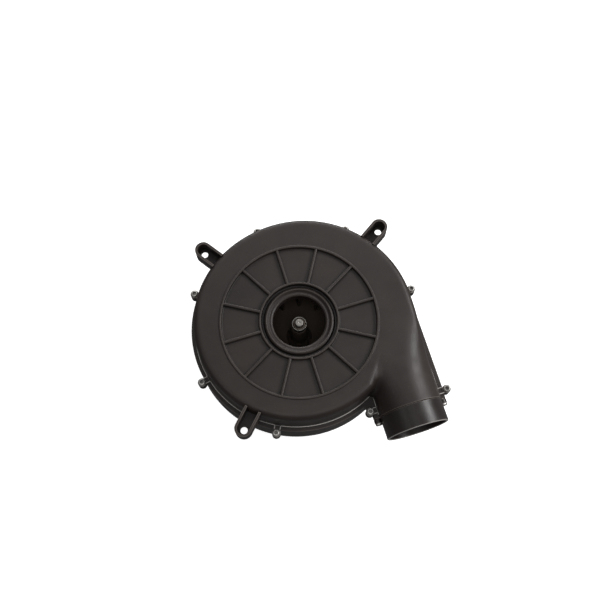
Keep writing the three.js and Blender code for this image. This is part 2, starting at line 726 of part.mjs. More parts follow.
// Spring washer that preloads the rear bearing.
function waveWasher() {
  return tube(10.6, 8, 2.7, 3.4, 16);
}

// Push-on connector on the side of the front bell, with two blades inside.
const CONNECTOR_ANGLE = radians(90);
const CONNECTOR_Z = STATOR_TOP_Z + 6.5;

function connectorHousing() {
  const body = block(12, 16, 9, MOTOR_R + GAP + 6, 0, CONNECTOR_Z, CONNECTOR_ANGLE);
  return cut(body, block(12, 13, 6, MOTOR_R + GAP + 9, 0, CONNECTOR_Z, CONNECTOR_ANGLE));
}

function connectorBlade(side) {
  return block(7, 0.8, 3, MOTOR_R + 7.2, side * 3, CONNECTOR_Z, CONNECTOR_ANGLE);
}

function groundTab() {
  return block(8, 6.3, 0.8, MOTOR_R + GAP + 4, 0, STATOR_TOP_Z + 9, radians(60));
}

// ---------------------------------------------------------------- assembly

const blower = new THREE.Group();

function add(name, solid, material, position = [0, 0, 0]) {
  const mesh = new THREE.Mesh(toGeometry(solid), FINISHES[material]);
  mesh.name = name;
  mesh.position.set(...position);
  blower.add(mesh);
}

add('front_shell', frontShell(), 'housing');
add('rear_shell', rearShell(), 'housing');
add('housing_gasket', housingGasket(), 'rubber');
add('outlet_collar', outletCollar(), 'collar');
bossCentres().forEach(([x, y], i) => add(`shell_screw_${i + 1}`, shellScrew(), 'screw', [x, y, 0]));
[-1, 1].forEach((side, i) => add(`collar_screw_${i + 1}`, collarScrew(side), 'screw'));

add('shaft', shaft(), 'shaft');
add('impeller', impeller(), 'wheel');
add('hub_clip', hubClip(), 'screw');
add('cooling_fan', coolingFan(), 'wheel');
add('rotor_core', rotorCore(), 'lamination');
add('rotor_end_ring_front', rotorEndRing(STATOR_TOP_Z + 0.2, STATOR_TOP_Z + 4), 'aluminium');
add('rotor_end_ring_rear', rotorEndRing(STATOR_LOW_Z - 4, STATOR_LOW_Z - 0.2), 'aluminium');

add('shaft_seal', shaftSeal(), 'rubber');
add('motor_plate', motorPlate(), 'frame');
postCentres().forEach(([x, y], i) => add(`isolator_${i + 1}`, isolator(), 'rubber', [x, y, 0]));
postCentres().forEach(([x, y], i) => add(`plate_screw_${i + 1}`, plateScrew(), 'screw', [x, y, 0]));

add('motor_front_bell', motorFrontBell(), 'frame');
add('motor_rear_bell', motorRearBell(), 'frame');
add('stator_core', statorCore(), 'lamination');
add('stator_winding', statorWinding(), 'copper');
add('front_bearing', bearing(PLATE_Z - 0.2 - 9.4), 'screw');
add('rear_bearing', bearing(3.6), 'screw');
add('preload_washer', waveWasher(), 'screw');
boltCentres().forEach(([x, y], i) => add(`through_bolt_${i + 1}`, throughBolt(), 'screw', [x, y, 0]));
boltCentres().forEach(([x, y], i) => add(`through_nut_${i + 1}`, throughNut(), 'screw', [x, y, 0]));

add('connector_housing', connectorHousing(), 'nylon');
[-1, 1].forEach((side, i) => add(`connector_blade_${i + 1}`, connectorBlade(side), 'terminal'));
add('ground_tab', groundTab(), 'terminal');

export default blower;
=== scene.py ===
"""Draft-inducer (combustion) fan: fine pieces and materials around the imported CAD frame."""
import math

import bmesh
import bpy
import numpy as np
from mathutils import Matrix, Vector


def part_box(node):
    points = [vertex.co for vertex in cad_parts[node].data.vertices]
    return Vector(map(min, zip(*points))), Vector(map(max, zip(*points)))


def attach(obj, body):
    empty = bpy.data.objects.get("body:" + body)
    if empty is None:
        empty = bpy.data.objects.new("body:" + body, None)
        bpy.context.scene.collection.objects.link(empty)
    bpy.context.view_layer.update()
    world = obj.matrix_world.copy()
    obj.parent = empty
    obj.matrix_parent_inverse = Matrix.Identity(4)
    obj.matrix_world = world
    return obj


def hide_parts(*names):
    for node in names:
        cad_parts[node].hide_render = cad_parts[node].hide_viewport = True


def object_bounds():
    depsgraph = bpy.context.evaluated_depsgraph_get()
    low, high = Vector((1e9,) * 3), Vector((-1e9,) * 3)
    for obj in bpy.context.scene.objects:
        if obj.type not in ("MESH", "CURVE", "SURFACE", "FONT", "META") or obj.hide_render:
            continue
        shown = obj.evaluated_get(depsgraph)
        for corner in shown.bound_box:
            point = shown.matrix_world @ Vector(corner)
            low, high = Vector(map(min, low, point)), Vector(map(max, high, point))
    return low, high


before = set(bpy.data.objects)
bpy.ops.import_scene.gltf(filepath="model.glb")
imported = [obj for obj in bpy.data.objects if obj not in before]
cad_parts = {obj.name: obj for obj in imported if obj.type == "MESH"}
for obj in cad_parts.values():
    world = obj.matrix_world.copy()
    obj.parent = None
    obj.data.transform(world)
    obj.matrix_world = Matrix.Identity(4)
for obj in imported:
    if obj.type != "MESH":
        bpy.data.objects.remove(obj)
cad_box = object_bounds()

MM = 0.001
HOUSING, ROTOR = "housing", "rotor"


def cad(node):
    """A CAD node's lowest and highest corner, in millimetres."""
    low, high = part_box(node)
    return low / MM, high / MM


# ---- dimensions, in millimetres

# Heights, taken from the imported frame.
FRONT_LOW, FRONT_HIGH = cad("front_shell")
REAR_LOW, REAR_HIGH = cad("rear_shell")
CREST_Z = FRONT_HIGH.z  # crest of the raised inlet ring
FACE_Z = CREST_Z - 1  # flat annulus round the ring
PANEL_Z = CREST_Z - 3.5  # recessed ribbed panel
FRONT_RIM_Z = FRONT_LOW.z  # the front shell's lower edge
REAR_RIM_Z = REAR_HIGH.z  # the rear shell's upper edge
PARTING_Z = (FRONT_RIM_Z + REAR_RIM_Z) / 2
OUTLET_Z = CREST_Z - 31.5
POST_Z = REAR_LOW.z
REAR_Z = CREST_Z - 72
PLATE_Z = cad("motor_plate")[0].z
PLATE_TOP_Z = cad("motor_plate")[1].z
STATOR_LOW_Z, STATOR_TOP_Z = (corner.z for corner in cad("stator_core"))
SHOULDER_Z = STATOR_LOW_Z - 10.7

# Volute: the scroll's radius at equal steps of its sweep, then the walls and the duct.
SCROLL_RADII = np.array([93.8, 95.4, 98.9, 101.7, 102.6, 106.8, 110.8])
WALL = 2.6
EDGE_R = 6
DRAFT = math.tan(math.radians(1.8))  # the front shell's wall leans in towards the inlet
REAR_STEP = 4.5  # the rear shell stands out past the front shell
DUCT_TURN = math.radians(17)
DUCT_COS, DUCT_SIN = math.cos(DUCT_TURN), math.sin(DUCT_TURN)
DUCT_LEFT = 47.85  # the duct's inner side, across the outlet's axis
DUCT_END = 105.3  # the seam with the collar, along the outlet's axis
SEAM_STEP = 0.35  # the duct's end stands this far out past the collar
FORM_ROUND_AT = 60  # where the duct has left the scroll's own section
TONGUE_TURN = DUCT_TURN - math.acos(DUCT_LEFT / SCROLL_RADII[0])
SCROLL_SWEEP = 2 * math.pi - (DUCT_TURN - TONGUE_TURN)

# Outlet collar.
TUBE_R = 30.15
TUBE_WALL = 2.5
TUBE_LENGTH = 22
SPIGOT_LENGTH = 10
SPIGOT_R, SPIGOT_BORE_R = 27.4, 25
TUBE_CENTRE = DUCT_LEFT + TUBE_R
LUG_Z = OUTLET_Z - 5
LUG_REACH = TUBE_R + 2.4
LUG_R = 3.8
LUG_LENGTH = 4
GAP = 0.3  # clearance between neighbouring pieces

# Inlet plate.
RING_R = 74.5
INNER_RING_R = 37
THROAT_R = 25.2
THROAT_Z = CREST_Z - 13  # lower lip of the throat
PLATE_EDGE_R = RING_R + 1.2
RIB_COUNT = 12
RIB_FIRST = math.radians(17.3)

# Mounting ears.
EARS = [(-93.1, 71.3), (78.3, 95.6), (-50.7, -101.6)]
EAR_HALF = 8
EAR_WALL = 2.2
EAR_FLOOR_Z = CREST_Z - 17.5
EAR_FLOOR = 3
EAR_HOLE_R = 3.4

# Screws that hold the shells together: round the scroll, and beside the duct.
SCROLL_SCREWS = [20.3, 66, 112.6, 161, 209.8, 258]  # degrees
DUCT_SCREWS = [(97.7, 40.5), (97.9, 117.2)]  # (along, across) the outlet's axis
BOSS_REACH = 7.8
BOSS_R = 4.1
BOSS_TOP_Z = PARTING_Z + 2.4
BOSS_LOW_Z = PARTING_Z - 9
SCREW_HOLE_R = 1.9

# Shaft and wheel.
SHAFT_R = 3.97
SHAFT_LOW_Z, SHAFT_TIP_Z = (corner.z for corner in cad("shaft"))
SHAFT_BORE_R = 4.3
HUB_Z = CREST_Z - 13.4
HUB_R = 5.7
CLIP_R = 7
WHEEL_R = 76
EYE_R = 30.5
BLADE_COUNT = 12
WHEEL_TOP_Z = CREST_Z - 15
WHEEL_LOW_Z = CREST_Z - 62
FAN_R = 31

# Motor.
MOTOR_R = 42
BELL_WALL = 2.2
BEARING_R, BEARING_HEIGHT = 11, 7
SEAT_R = BEARING_R + 2.5
CAP_R = 31
BOLT_CIRCLE_R = 37.5
BOLT_HOLE_R = 2.2
POST_CIRCLE_R = 52


# ---- mesh helpers

def temporary(vertices, faces):
    """A mesh object in millimetres, to be joined or cut."""
    mesh = bpy.data.meshes.new("work")
    mesh.from_pydata([tuple(v) for v in vertices], [], [tuple(f) for f in faces])
    work = bmesh.new()
    work.from_mesh(mesh)
    bmesh.ops.recalc_face_normals(work, faces=work.faces)
    work.to_mesh(mesh)
    work.free()
    obj = bpy.data.objects.new("work", mesh)
    bpy.context.scene.collection.objects.link(obj)
    return obj


def applied(obj):
    """Applies the object's modifiers to its mesh."""
    graph = bpy.context.evaluated_depsgraph_get()
    mesh = bpy.data.meshes.new_from_object(obj.evaluated_get(graph))
    obj.modifiers.clear()
    old = obj.data
    obj.data = mesh
    bpy.data.meshes.remove(old)
    return obj


def combine(target, others, operation):
    """Boolean of the target with each other mesh in turn; the others are used up."""
    for other in others:
        step = target.modifiers.new("step", "BOOLEAN")
        step.solver = "MANIFOLD"
        step.operation = operation
        step.object = other
        applied(target)
        bpy.data.objects.remove(other)
    return target


def join(target, *others):
    return combine(target, others, "UNION")


def cut(target, *others):
    return combine(target, others, "DIFFERENCE")


def bevelled(obj, width, segments=2, angle=40):
    """Rounds every edge sharper than an angle in degrees."""
    step = obj.modifiers.new("bevel", "BEVEL")
    step.width = width
    step.segments = segments
    step.limit_method = "ANGLE"
    step.angle_limit = math.radians(angle)
    return applied(obj)


def moved(obj, matrix):
    obj.data.transform(matrix)
    return obj


def turned_by(obj, angle):
    return moved(obj, Matrix.Rotation(angle, 4, "Z"))


def copied(obj):
    twin = obj.copy()
    twin.data = obj.data.copy()
    bpy.context.scene.collection.objects.link(twin)
    return twin


def filleted(points, steps=4):
    """A closed outline whose corners (a, b, radius) become arcs."""
    outline = []
    count = len(points)
    for i, point in enumerate(points):
        here = np.array(point[:2], float)
        radius = point[2] if len(point) > 2 else 0
        if radius <= 0:
            outline.append(tuple(here))
            continue
        back = np.array(points[i - 1][:2], float) - here
        ahead = np.array(points[(i + 1) % count][:2], float) - here
        back_length, ahead_length = np.linalg.norm(back), np.linalg.norm(ahead)
        back, ahead = back / back_length, ahead / ahead_length
        half = math.acos(np.clip(back @ ahead, -1, 1)) / 2
        reach = min(radius / math.tan(half), back_length * 0.49, ahead_length * 0.49)
        radius = reach * math.tan(half)
        centre = here + (back + ahead) / np.linalg.norm(back + ahead) * radius / math.sin(half)
        start = here + back * reach - centre
        end = here + ahead * reach - centre
        first = math.atan2(start[1], start[0])
        sweep = math.atan2(end[1], end[0]) - first
        sweep = (sweep + math.pi) % (2 * math.pi) - math.pi
        for k in range(steps + 1):
            angle = first + sweep * k / steps
            outline.append(tuple(centre + radius * np.array([math.cos(angle), math.sin(angle)])))
    return outline


def lathe(profile, segments=96, steps=4):
    """A body of revolution about Z from a closed (radius, height[, fillet]) outline."""
    outline = filleted(profile, steps)
    vertices, rings = [], []
    for radius, height in outline:
        if radius < 1e-6:
            rings.append([len(vertices)])
            vertices.append((0, 0, height))
        else:
            rings.append(list(range(len(vertices), len(vertices) + segments)))
            vertices += [
                (radius * math.cos(2 * math.pi * k / segments),
                 radius * math.sin(2 * math.pi * k / segments), height)
                for k in range(segments)
            ]
    faces = []
    for i, ring in enumerate(rings):
        following = rings[(i + 1) % len(rings)]
        if len(ring) == 1 and len(following) == 1:
            continue
        for k in range(segments):
            n = (k + 1) % segments
            if len(ring) == 1:
                faces.append((ring[0], following[k], following[n]))
            elif len(following) == 1:
                faces.append((ring[k], following[0], ring[n]))
            else:
                faces.append((ring[k], following[k], following[n], ring[n]))
    return temporary(vertices, faces)


def cylinder(radius, low, high, x=0, y=0, segments=32, edge=0.0):
    """An upright cylinder whose rims are rounded by `edge`."""
    part = lathe([(0, low), (radius, low, edge), (radius, high, edge), (0, high)], segments, 3)
    return moved(part, Matrix.Translation((x, y, 0)))


def prism(outline, low, high):
    """A plan outline raised from one height to another."""
    count = len(outline)
    vertices = [(x, y, low) for x, y in outline] + [(x, y, high) for x, y in outline]
    faces = [tuple(range(count))[::-1], tuple(range(count, 2 * count))]
    for i in range(count):
        j = (i + 1) % count
        faces.append((i, j, j + count, i + count))
    return temporary(vertices, faces)


def block(width, depth, height, x=0.0, y=0.0, z=0.0, turn=0.0):
    """A box about (x, y, z), then turned about the Z axis."""
    corners = [(-width / 2, -depth / 2), (width / 2, -depth / 2),
               (width / 2, depth / 2), (-width / 2, depth / 2)]
    part = prism([(x + a, y + b) for a, b in corners], z - height / 2, z + height / 2)
    return turned_by(part, turn)


def slab(low, high):
    """Everything between two heights."""
    return block(FAR, FAR, high - low, 0, 0, (low + high) / 2)


def polar(radius, angle):
    return radius * math.cos(angle), radius * math.sin(angle)


def around(count, first=0.0):
    """Angles evenly spaced round a full turn."""
    return [first + 2 * math.pi * i / count for i in range(count)]


# ---- volute layout

def duct_point(along, across):
    """Plan position from distances along the outlet's axis and across it."""
    return across * DUCT_COS + along * DUCT_SIN, across * DUCT_SIN - along * DUCT_COS


def growth(share):
    """The scroll's radius after a share of its sweep: a Catmull-Rom curve through the radii."""
    last = len(SCROLL_RADII) - 1
    position = np.clip(np.asarray(share, float), 0, 1) * last
    cell = np.minimum(position.astype(int), last)
    t = position - cell
    p0 = SCROLL_RADII[np.maximum(cell - 1, 0)]
    p1 = SCROLL_RADII[cell]
    p2 = SCROLL_RADII[np.minimum(cell + 1, last)]
    p3 = SCROLL_RADII[np.minimum(cell + 2, last)]
    v0, v1 = (p2 - p0) / 2, (p3 - p1) / 2
    return (2 * p1 - 2 * p2 + v0 + v1) * t**3 + (3 * p2 - 3 * p1 - 2 * v0 - v1) * t**2 + v0 * t + p1


def turn_at(x, y):
    """How far round the scroll a point lies from the tongue, clockwise."""
    return np.mod(TONGUE_TURN - np.arctan2(y, x), 2 * math.pi)


def scroll_radius(angle):
    return float(growth(((TONGUE_TURN - angle) % (2 * math.pi)) / SCROLL_SWEEP))


def scroll_outline(offset, steps=240):
    """The scroll's plan outline, closed by its chord across the duct."""
    shares = np.arange(steps + 1) / steps
    radii = growth(shares) + offset
    return [polar(r, TONGUE_TURN - SCROLL_SWEEP * s) for r, s in zip(radii, shares)]


def smoothstep(low, high, value):
    t = np.clip((value - low) / (high - low), 0, 1)
    return t * t * (3 - 2 * t)


CHORD_A = np.array(polar(SCROLL_RADII[-1], DUCT_TURN))
CHORD_B = np.array(polar(SCROLL_RADII[0], TONGUE_TURN))
CHORD_NORMAL = np.array([CHORD_A[1] - CHORD_B[1], CHORD_B[0] - CHORD_A[0]])
CHORD_NORMAL /= np.linalg.norm(CHORD_NORMAL)
if CHORD_NORMAL @ CHORD_A < 0:
    CHORD_NORMAL = -CHORD_NORMAL


def rounded_corner(a, b, radius):
    """Where both a and b are negative, with the corner between them rounded."""
    a, b = a + radius, b + radius
    return np.minimum(np.maximum(a, b), 0) + np.hypot(np.maximum(a, 0), np.maximum(b, 0)) - radius


def scroll_field(x, y, z, front):
    """Roughly the distance outside the front or the rear half of the scroll."""
    turn = turn_at(x, y)
    wall = np.hypot(x, y) - growth(turn / SCROLL_SWEEP)
    chord = x * CHORD_NORMAL[0] + y * CHORD_NORMAL[1] - CHORD_NORMAL @ CHORD_A
    wall = np.where(turn > SCROLL_SWEEP, chord, wall)
    if front:
        wall = wall + np.maximum(z - PARTING_Z, 0) * DRAFT
        return rounded_corner(wall, z - FACE_Z, EDGE_R)
    return rounded_corner(wall - REAR_STEP, REAR_Z - z, EDGE_R)


OUTSIDE = 50.0


def duct_field(x, y, z, front=True):
    """The duct grows out of the scroll's own section and turns round towards the seam."""
    along = x * DUCT_SIN - y * DUCT_COS
    across = x * DUCT_COS + y * DUCT_SIN
    t = np.clip(along / DUCT_END, 0, 1)
    end_r = TUBE_R + SEAM_STEP
    right = SCROLL_RADII[-1] + (TUBE_CENTRE + end_r - SCROLL_RADII[-1]) * t
    left = DUCT_LEFT + (TUBE_CENTRE - end_r - DUCT_LEFT) * t
    top = FACE_Z + (OUTLET_Z + end_r - FACE_Z) * t
    bottom = REAR_Z + (OUTLET_Z - end_r - REAR_Z) * t
    if not front:
        right = right + REAR_STEP * (1 - smoothstep(0, 80, along))
    dx = across - (left + right) / 2
    dz = z - (top + bottom) / 2
    roundness = np.where(dx > 0, smoothstep(5, 92, along), smoothstep(40, 100, along))
    power = 0.2 + 0.8 * roundness
    exponent = 2 / power
    level = (np.abs(dx / (right - left) * 2) ** exponent
             + np.abs(dz / (top - bottom) * 2) ** exponent + 1e-12) ** (power / 2)
    reach = np.hypot(dx, dz)
    side = np.maximum(across - right, left - across)
    if front:
        side = side + np.maximum(z - PARTING_Z, 0) * DRAFT
    square = rounded_corner(side, z - top if front else bottom - z, EDGE_R)
    share = smoothstep(0, FORM_ROUND_AT, along)
    section = square * (1 - share) + (reach - reach / level) * share
    return np.where(along < 0, OUTSIDE, section)


FILLET = 7.0  # between the scroll and the duct


def volute_field(x, y, z, front):
    """Negative inside the scroll or the duct, with a fillet where they meet at an angle."""
    a = scroll_field(x, y, z, front)
    b = duct_field(x, y, z, front)
    result = np.minimum(a, b)
    near = (np.abs(a - b) < FILLET) & (result < FILLET) & (result > -FILLET)
    if not near.any():
        return result
    p, q, r = x[near], y[near], z[near]
    a0, b0 = a[near], b[near]
    h = 0.3  # step for measuring the fields' slopes
    slopes = []
    for base, field in ((a0, scroll_field), (b0, duct_field)):
        slope = np.stack([field(p + h, q, r, front), field(p, q + h, r, front),
                          field(p, q, r + h, front)]) - base
        slopes.append(slope / np.maximum(np.linalg.norm(slope, axis=0), 1e-9))
    angle = np.clip(1 - (slopes[0] * slopes[1]).sum(0), 0, 1)
    along = p * DUCT_SIN - q * DUCT_COS  # the fillet fades out towards the scroll
    k = np.maximum(FILLET * angle * smoothstep(25, 45, along), 1e-6)
    overlap = np.maximum(k - np.abs(a0 - b0), 0) / k
    result[near] -= overlap**2 * k / 4
    return result


def skin(field, low, high, step, level=0.0):
    """The closed surface field = level, by surface nets pulled onto the field."""
    axes = [np.arange(lo, hi + step, step) for lo, hi in zip(low, high)]
    grid = np.meshgrid(*axes, indexing="ij")
    values = field(*grid) - level
    for axis in range(3):
        for end in (0, -1):
            index = [slice(None)] * 3
            index[axis] = end
            values[tuple(index)] = np.maximum(values[tuple(index)], 0.5 * step)
    inside = values < 0
    shape = [n - 1 for n in inside.shape]

    def corner(array, i, j, k):
        return array[i:i + shape[0], j:j + shape[1], k:k + shape[2]]

    offsets = [(i, j, k) for i in (0, 1) for j in (0, 1) for k in (0, 1)]
    count = sum(corner(inside, *o).astype(np.int8) for o in offsets)
    cells = np.argwhere((count > 0) & (count < 8))
    number = -np.ones(shape, int)
    number[tuple(cells.T)] = np.arange(len(cells))
    total = np.zeros((len(cells), 3))
    crossings = np.zeros(len(cells))
    for o in offsets:
        for axis in range(3):
            if o[axis]:
                continue
            other = list(o)
            other[axis] = 1
            fa = values[tuple((cells + o).T)]
            fb = values[tuple((cells + other).T)]
            crossing = (fa < 0) != (fb < 0)
            t = np.where(crossing, fa / np.where(crossing, fa - fb, 1), 0)
            point = np.array(o, float)[None, :].repeat(len(cells), 0)
            point[:, axis] += t
            total += point * crossing[:, None]
            crossings += crossing
    points = np.array(low) + (cells + total / crossings[:, None]) * step
    h = 0.05  # step for measuring the field's slope
    for _ in range(3):
        x, y, z = points.T
        value = field(x, y, z) - level
        slope = np.stack([field(x + h, y, z) - field(x - h, y, z),
                          field(x, y + h, z) - field(x, y - h, z),
                          field(x, y, z + h) - field(x, y, z - h)], 1) / (2 * h)
        shift = value[:, None] * slope / np.maximum((slope**2).sum(1), 0.2)[:, None]
        points -= np.clip(shift, -step / 2, step / 2)
    faces = []
    for axis in range(3):
        u, v = (axis + 1) % 3, (axis + 2) % 3
        first = [slice(None)] * 3
        second = [slice(None)] * 3
        first[axis], second[axis] = slice(0, -1), slice(1, None)
        change = inside[tuple(first)] != inside[tuple(second)]
        edges = np.argwhere(change)
        fits = (edges[:, u] > 0) & (edges[:, v] > 0)
        fits &= (edges[:, u] < shape[u]) & (edges[:, v] < shape[v])
        edges = edges[fits]
        outward = inside[tuple(first)][tuple(edges.T)]
        quad = []
        for du, dv in ((-1, -1), (0, -1), (0, 0), (-1, 0)):
            cell = edges.copy()
            cell[:, u] += du
            cell[:, v] += dv
            quad.append(number[tuple(cell.T)])
        quad = np.stack(quad, 1)
        quad[~outward] = quad[~outward][:, ::-1]
        faces.append(quad)
    return quad_mesh(points, np.concatenate(faces))


def quad_mesh(points, quads):
    """A mesh object from arrays of points and of four-sided faces."""
    mesh = bpy.data.meshes.new("work")
    mesh.vertices.add(len(points))
    mesh.vertices.foreach_set("co", points.astype(np.float32).ravel())
    mesh.loops.add(quads.size)
    mesh.loops.foreach_set("vertex_index", quads.astype(np.int32).ravel())
    mesh.polygons.add(len(quads))
    mesh.polygons.foreach_set("loop_start", np.arange(0, quads.size, 4, dtype=np.int32))
    mesh.update(calc_edges=True)
    mesh.validate()
    obj = bpy.data.objects.new("work", mesh)
    bpy.context.scene.collection.objects.link(obj)
    return obj


# ---- materials

def linear(value):
    return value / 12.92 if value <= 0.04045 else ((value + 0.055) / 1.055) ** 2.4


def rgb(r, g, b):
    """A colour from 0 to 255 display values."""
    return tuple(linear(c / 255) for c in (r, g, b)) + (1.0,)


class Nodes:
    """A material's node tree, built by short calls."""

    def __init__(self, name):
        self.material = bpy.data.materials.new(name)
        self.material.use_nodes = True
        self.tree = self.material.node_tree
        self.shader = self.tree.nodes["Principled BSDF"]
        self.place = self.tree.nodes.new("ShaderNodeTexCoord").outputs["Object"]

    def node(self, kind, **inputs):
        made = self.tree.nodes.new(kind)
        for key, value in inputs.items():
            self.feed(made.inputs[key.replace("_", " ")], value)
        return made

    def feed(self, socket, value):
        if isinstance(value, bpy.types.NodeSocket):
            self.tree.links.new(value, socket)
        else:
            socket.default_value = value

    def noise(self, scale, detail=3.0, roughness=0.55, place=None):
        made = self.node("ShaderNodeTexNoise", Vector=place or self.place, Scale=scale,
                         Detail=detail, Roughness=roughness)
        return made.outputs["Fac"]

    def stretched(self, x, y, z):
        made = self.node("ShaderNodeMapping", Vector=self.place, Scale=(x, y, z))
        return made.outputs["Vector"]

    def ramp(self, value, stops):
        made = self.tree.nodes.new("ShaderNodeValToRGB")
        self.feed(made.inputs["Fac"], value)
        ramp = made.color_ramp
        while len(ramp.elements) < len(stops):
            ramp.elements.new(0.5)
        for element, (position, colour) in zip(ramp.elements, stops):
            element.position = position
            element.color = colour
        return made.outputs["Color"]

    def span(self, value, low, high, out_low, out_high):
        made = self.node("ShaderNodeMapRange", Value=value)
        for key, number in zip(("From Min", "From Max", "To Min", "To Max"),
                               (low, high, out_low, out_high)):
            made.inputs[key].default_value = number
        return made.outputs["Result"]

    def mix(self, share, a, b):
        made = self.tree.nodes.new("ShaderNodeMix")
        made.data_type = "RGBA"
        self.feed(made.inputs["Factor"], share)
        self.feed(made.inputs["A"], a)
        self.feed(made.inputs["B"], b)
        return made.outputs["Result"]

    def maths(self, operation, a, b):
        made = self.tree.nodes.new("ShaderNodeMath")
        made.operation = operation
        self.feed(made.inputs[0], a)
        self.feed(made.inputs[1], b)
        return made.outputs[0]

    def nearby(self, reach, inside):
        """How open the space is within reach of a point, outside the surface or inside it."""
        made = self.node("ShaderNodeAmbientOcclusion", Distance=reach)
        made.samples = 8
        made.inside = inside
        made.only_local = True
        return made.outputs["AO"]

    def edge_highlight_mask(self, reach):
        """1 on an outside edge, 0 a little way from it: the mask for the painted edge highlight."""
        return self.span(self.nearby(reach, True), 0.55, 0.95, 1, 0)

    def corners(self, reach):
        """How deep a point sits in an inside corner, from 0 in the open to 0.85: the mask for
        painted shade.
        """
        return self.span(self.nearby(reach, False), 0.35, 0.95, 0.85, 0)

    def rim_highlight_line(self):
        """1 in the thin layer where the front shell's rim stands on the parting line: where a
        painted highlight goes.
        """
        height = self.node("ShaderNodeSeparateXYZ", Vector=self.place).outputs["Z"]
        above = self.span(height, (FRONT_RIM_Z + 0.3) * MM, (FRONT_RIM_Z + 0.9) * MM, 0, 1)
        below = self.span(height, (FRONT_RIM_Z + 1.7) * MM, (FRONT_RIM_Z + 2.0) * MM, 1, 0)
        return self.maths("MULTIPLY", above, below)

    def mouth_highlight_line(self):
        """1 on the cut end of the outlet tube: where a painted highlight goes."""
        place = self.node("ShaderNodeSeparateXYZ", Vector=self.place)
        along = self.maths("SUBTRACT", self.maths("MULTIPLY", place.outputs["X"], DUCT_SIN),
                           self.maths("MULTIPLY", place.outputs["Y"], DUCT_COS))
        mouth = DUCT_END + TUBE_LENGTH
        return self.span(along, (mouth - 0.8) * MM, (mouth - 0.2) * MM, 0, 0.75)

    def bump(self, height, strength, distance, normal=None):
        """A normal from a height; strength and distance belong to the relief."""
        made = self.node("ShaderNodeBump", Height=height, Strength=strength, Distance=distance)
        if normal is not None:
            self.feed(made.inputs["Normal"], normal)
        return made.outputs["Normal"]

    def finish(self, colour, roughness, normal=None, metallic=0.0, specular=0.5):
        """Feeds the shader and hands back the material."""
        self.feed(self.shader.inputs["Base Color"], colour)
        self.feed(self.shader.inputs["Roughness"], roughness)
        self.shader.inputs["Metallic"].default_value = metallic
        self.shader.inputs["Specular IOR Level"].default_value = specular
        if normal is not None:
            self.feed(self.shader.inputs["Normal"], normal)
        return self.material


def plastic(name, dark, light, rough=(0.42, 0.56), specular=0.5, edge_highlight=0.35):
    """Moulded plastic: flow marks, dust and a pebbled skin. The last argument is how pale a painted
    highlight makes its outside edges; at 0 that, the painted shade in inside corners and the
    painted highlights on the rim line and the mouth are left off."""
    n = Nodes(name)
    clouds = n.noise(28, 5, 0.6)
    flow = n.noise(9, 3, 0.5, n.stretched(1.0, 1.0, 3.0))
    blend = n.maths("MULTIPLY_ADD", clouds, 0.6)
    n.feed(blend.node.inputs[2], n.maths("MULTIPLY", flow, 0.4))
    colour = n.mix(n.span(blend, 0.35, 0.65, 0, 1), dark, light)
    specks = n.ramp(n.noise(900, 2, 0.5), [(0.66, (0, 0, 0, 1)), (0.74, (1, 1, 1, 1))])
    colour = n.mix(n.maths("MULTIPLY", specks, 0.10), colour, rgb(120, 112, 106))
    if edge_highlight:
        # Painted highlight: outside edges paled towards light grey, like crests catching the light.
        edges = n.edge_highlight_mask(0.001)
        edge = n.maths("MULTIPLY", edges, n.span(clouds, 0.3, 0.7, edge_highlight - 0.1, edge_highlight + 0.3))
        colour = n.mix(edge, colour, rgb(132, 122, 115))
        # Painted shade: inside corners darkened towards black.
        colour = n.mix(n.corners(0.0045), colour, rgb(6, 5, 4))
        # Painted highlight: a near-white line along the front shell's rim.
        colour = n.mix(n.maths("MULTIPLY", edges, n.rim_highlight_line()), colour, rgb(232, 228, 222))
        # Painted highlight: the tube's end face paled to light grey.
        colour = n.mix(n.mouth_highlight_line(), colour, rgb(206, 202, 197))
    roughness = n.span(n.noise(60, 4, 0.6), 0.3, 0.7, *rough)
    grain = n.bump(n.noise(2600, 2, 0.5), 0.35, 0.00006)
    sag = n.bump(n.noise(22, 2, 0.5), 0.12, 0.0012, grain)
    return n.finish(colour, roughness, sag, 0.0, specular)


def steel(name, dark, light, rough=(0.25, 0.42), streak=(60, 60, 900), metallic=1.0):
    """Plated or ground steel: cloudy plating, drawn streaks, and painted shade in its corners."""
    n = Nodes(name)
    clouds = n.noise(220, 4, 0.6)
    colour = n.mix(n.span(clouds, 0.3, 0.7, 0, 1), dark, light)
    stain = n.ramp(n.noise(70, 5, 0.65), [(0.5, (0, 0, 0, 1)), (0.72, (1, 1, 1, 1))])
    colour = n.mix(n.maths("MULTIPLY", stain, 0.35), colour, dark)
    # Painted shade: inside corners darkened towards near-black.
    colour = n.mix(n.corners(0.003), colour, rgb(14, 13, 12))
    roughness = n.span(n.noise(420, 3, 0.6), 0.3, 0.7, *rough)
    lines = n.noise(6, 3, 0.5, n.stretched(*streak))
    return n.finish(colour, roughness, n.bump(lines, 0.25, 0.00005), metallic)


def laminations(name):
    """Stacked sheets 0.5 mm thick with varnish run between them."""
    n = Nodes(name)
    wave = n.node("ShaderNodeTexWave", Vector=n.place, Scale=318.0, Distortion=0.6, Detail=2.0)
    wave.bands_direction = "Z"
    lines = wave.outputs["Fac"]
    colour = n.mix(n.span(n.noise(130, 4), 0.3, 0.7, 0, 1), rgb(96, 93, 90), rgb(150, 148, 146))
    colour = n.mix(n.span(lines, 0.0, 0.35, 0.75, 0.0), colour, rgb(26, 24, 23))
    return n.finish(colour, n.span(lines, 0, 1, 0.6, 0.35), n.bump(lines, 0.6, 0.0001), 0.5)


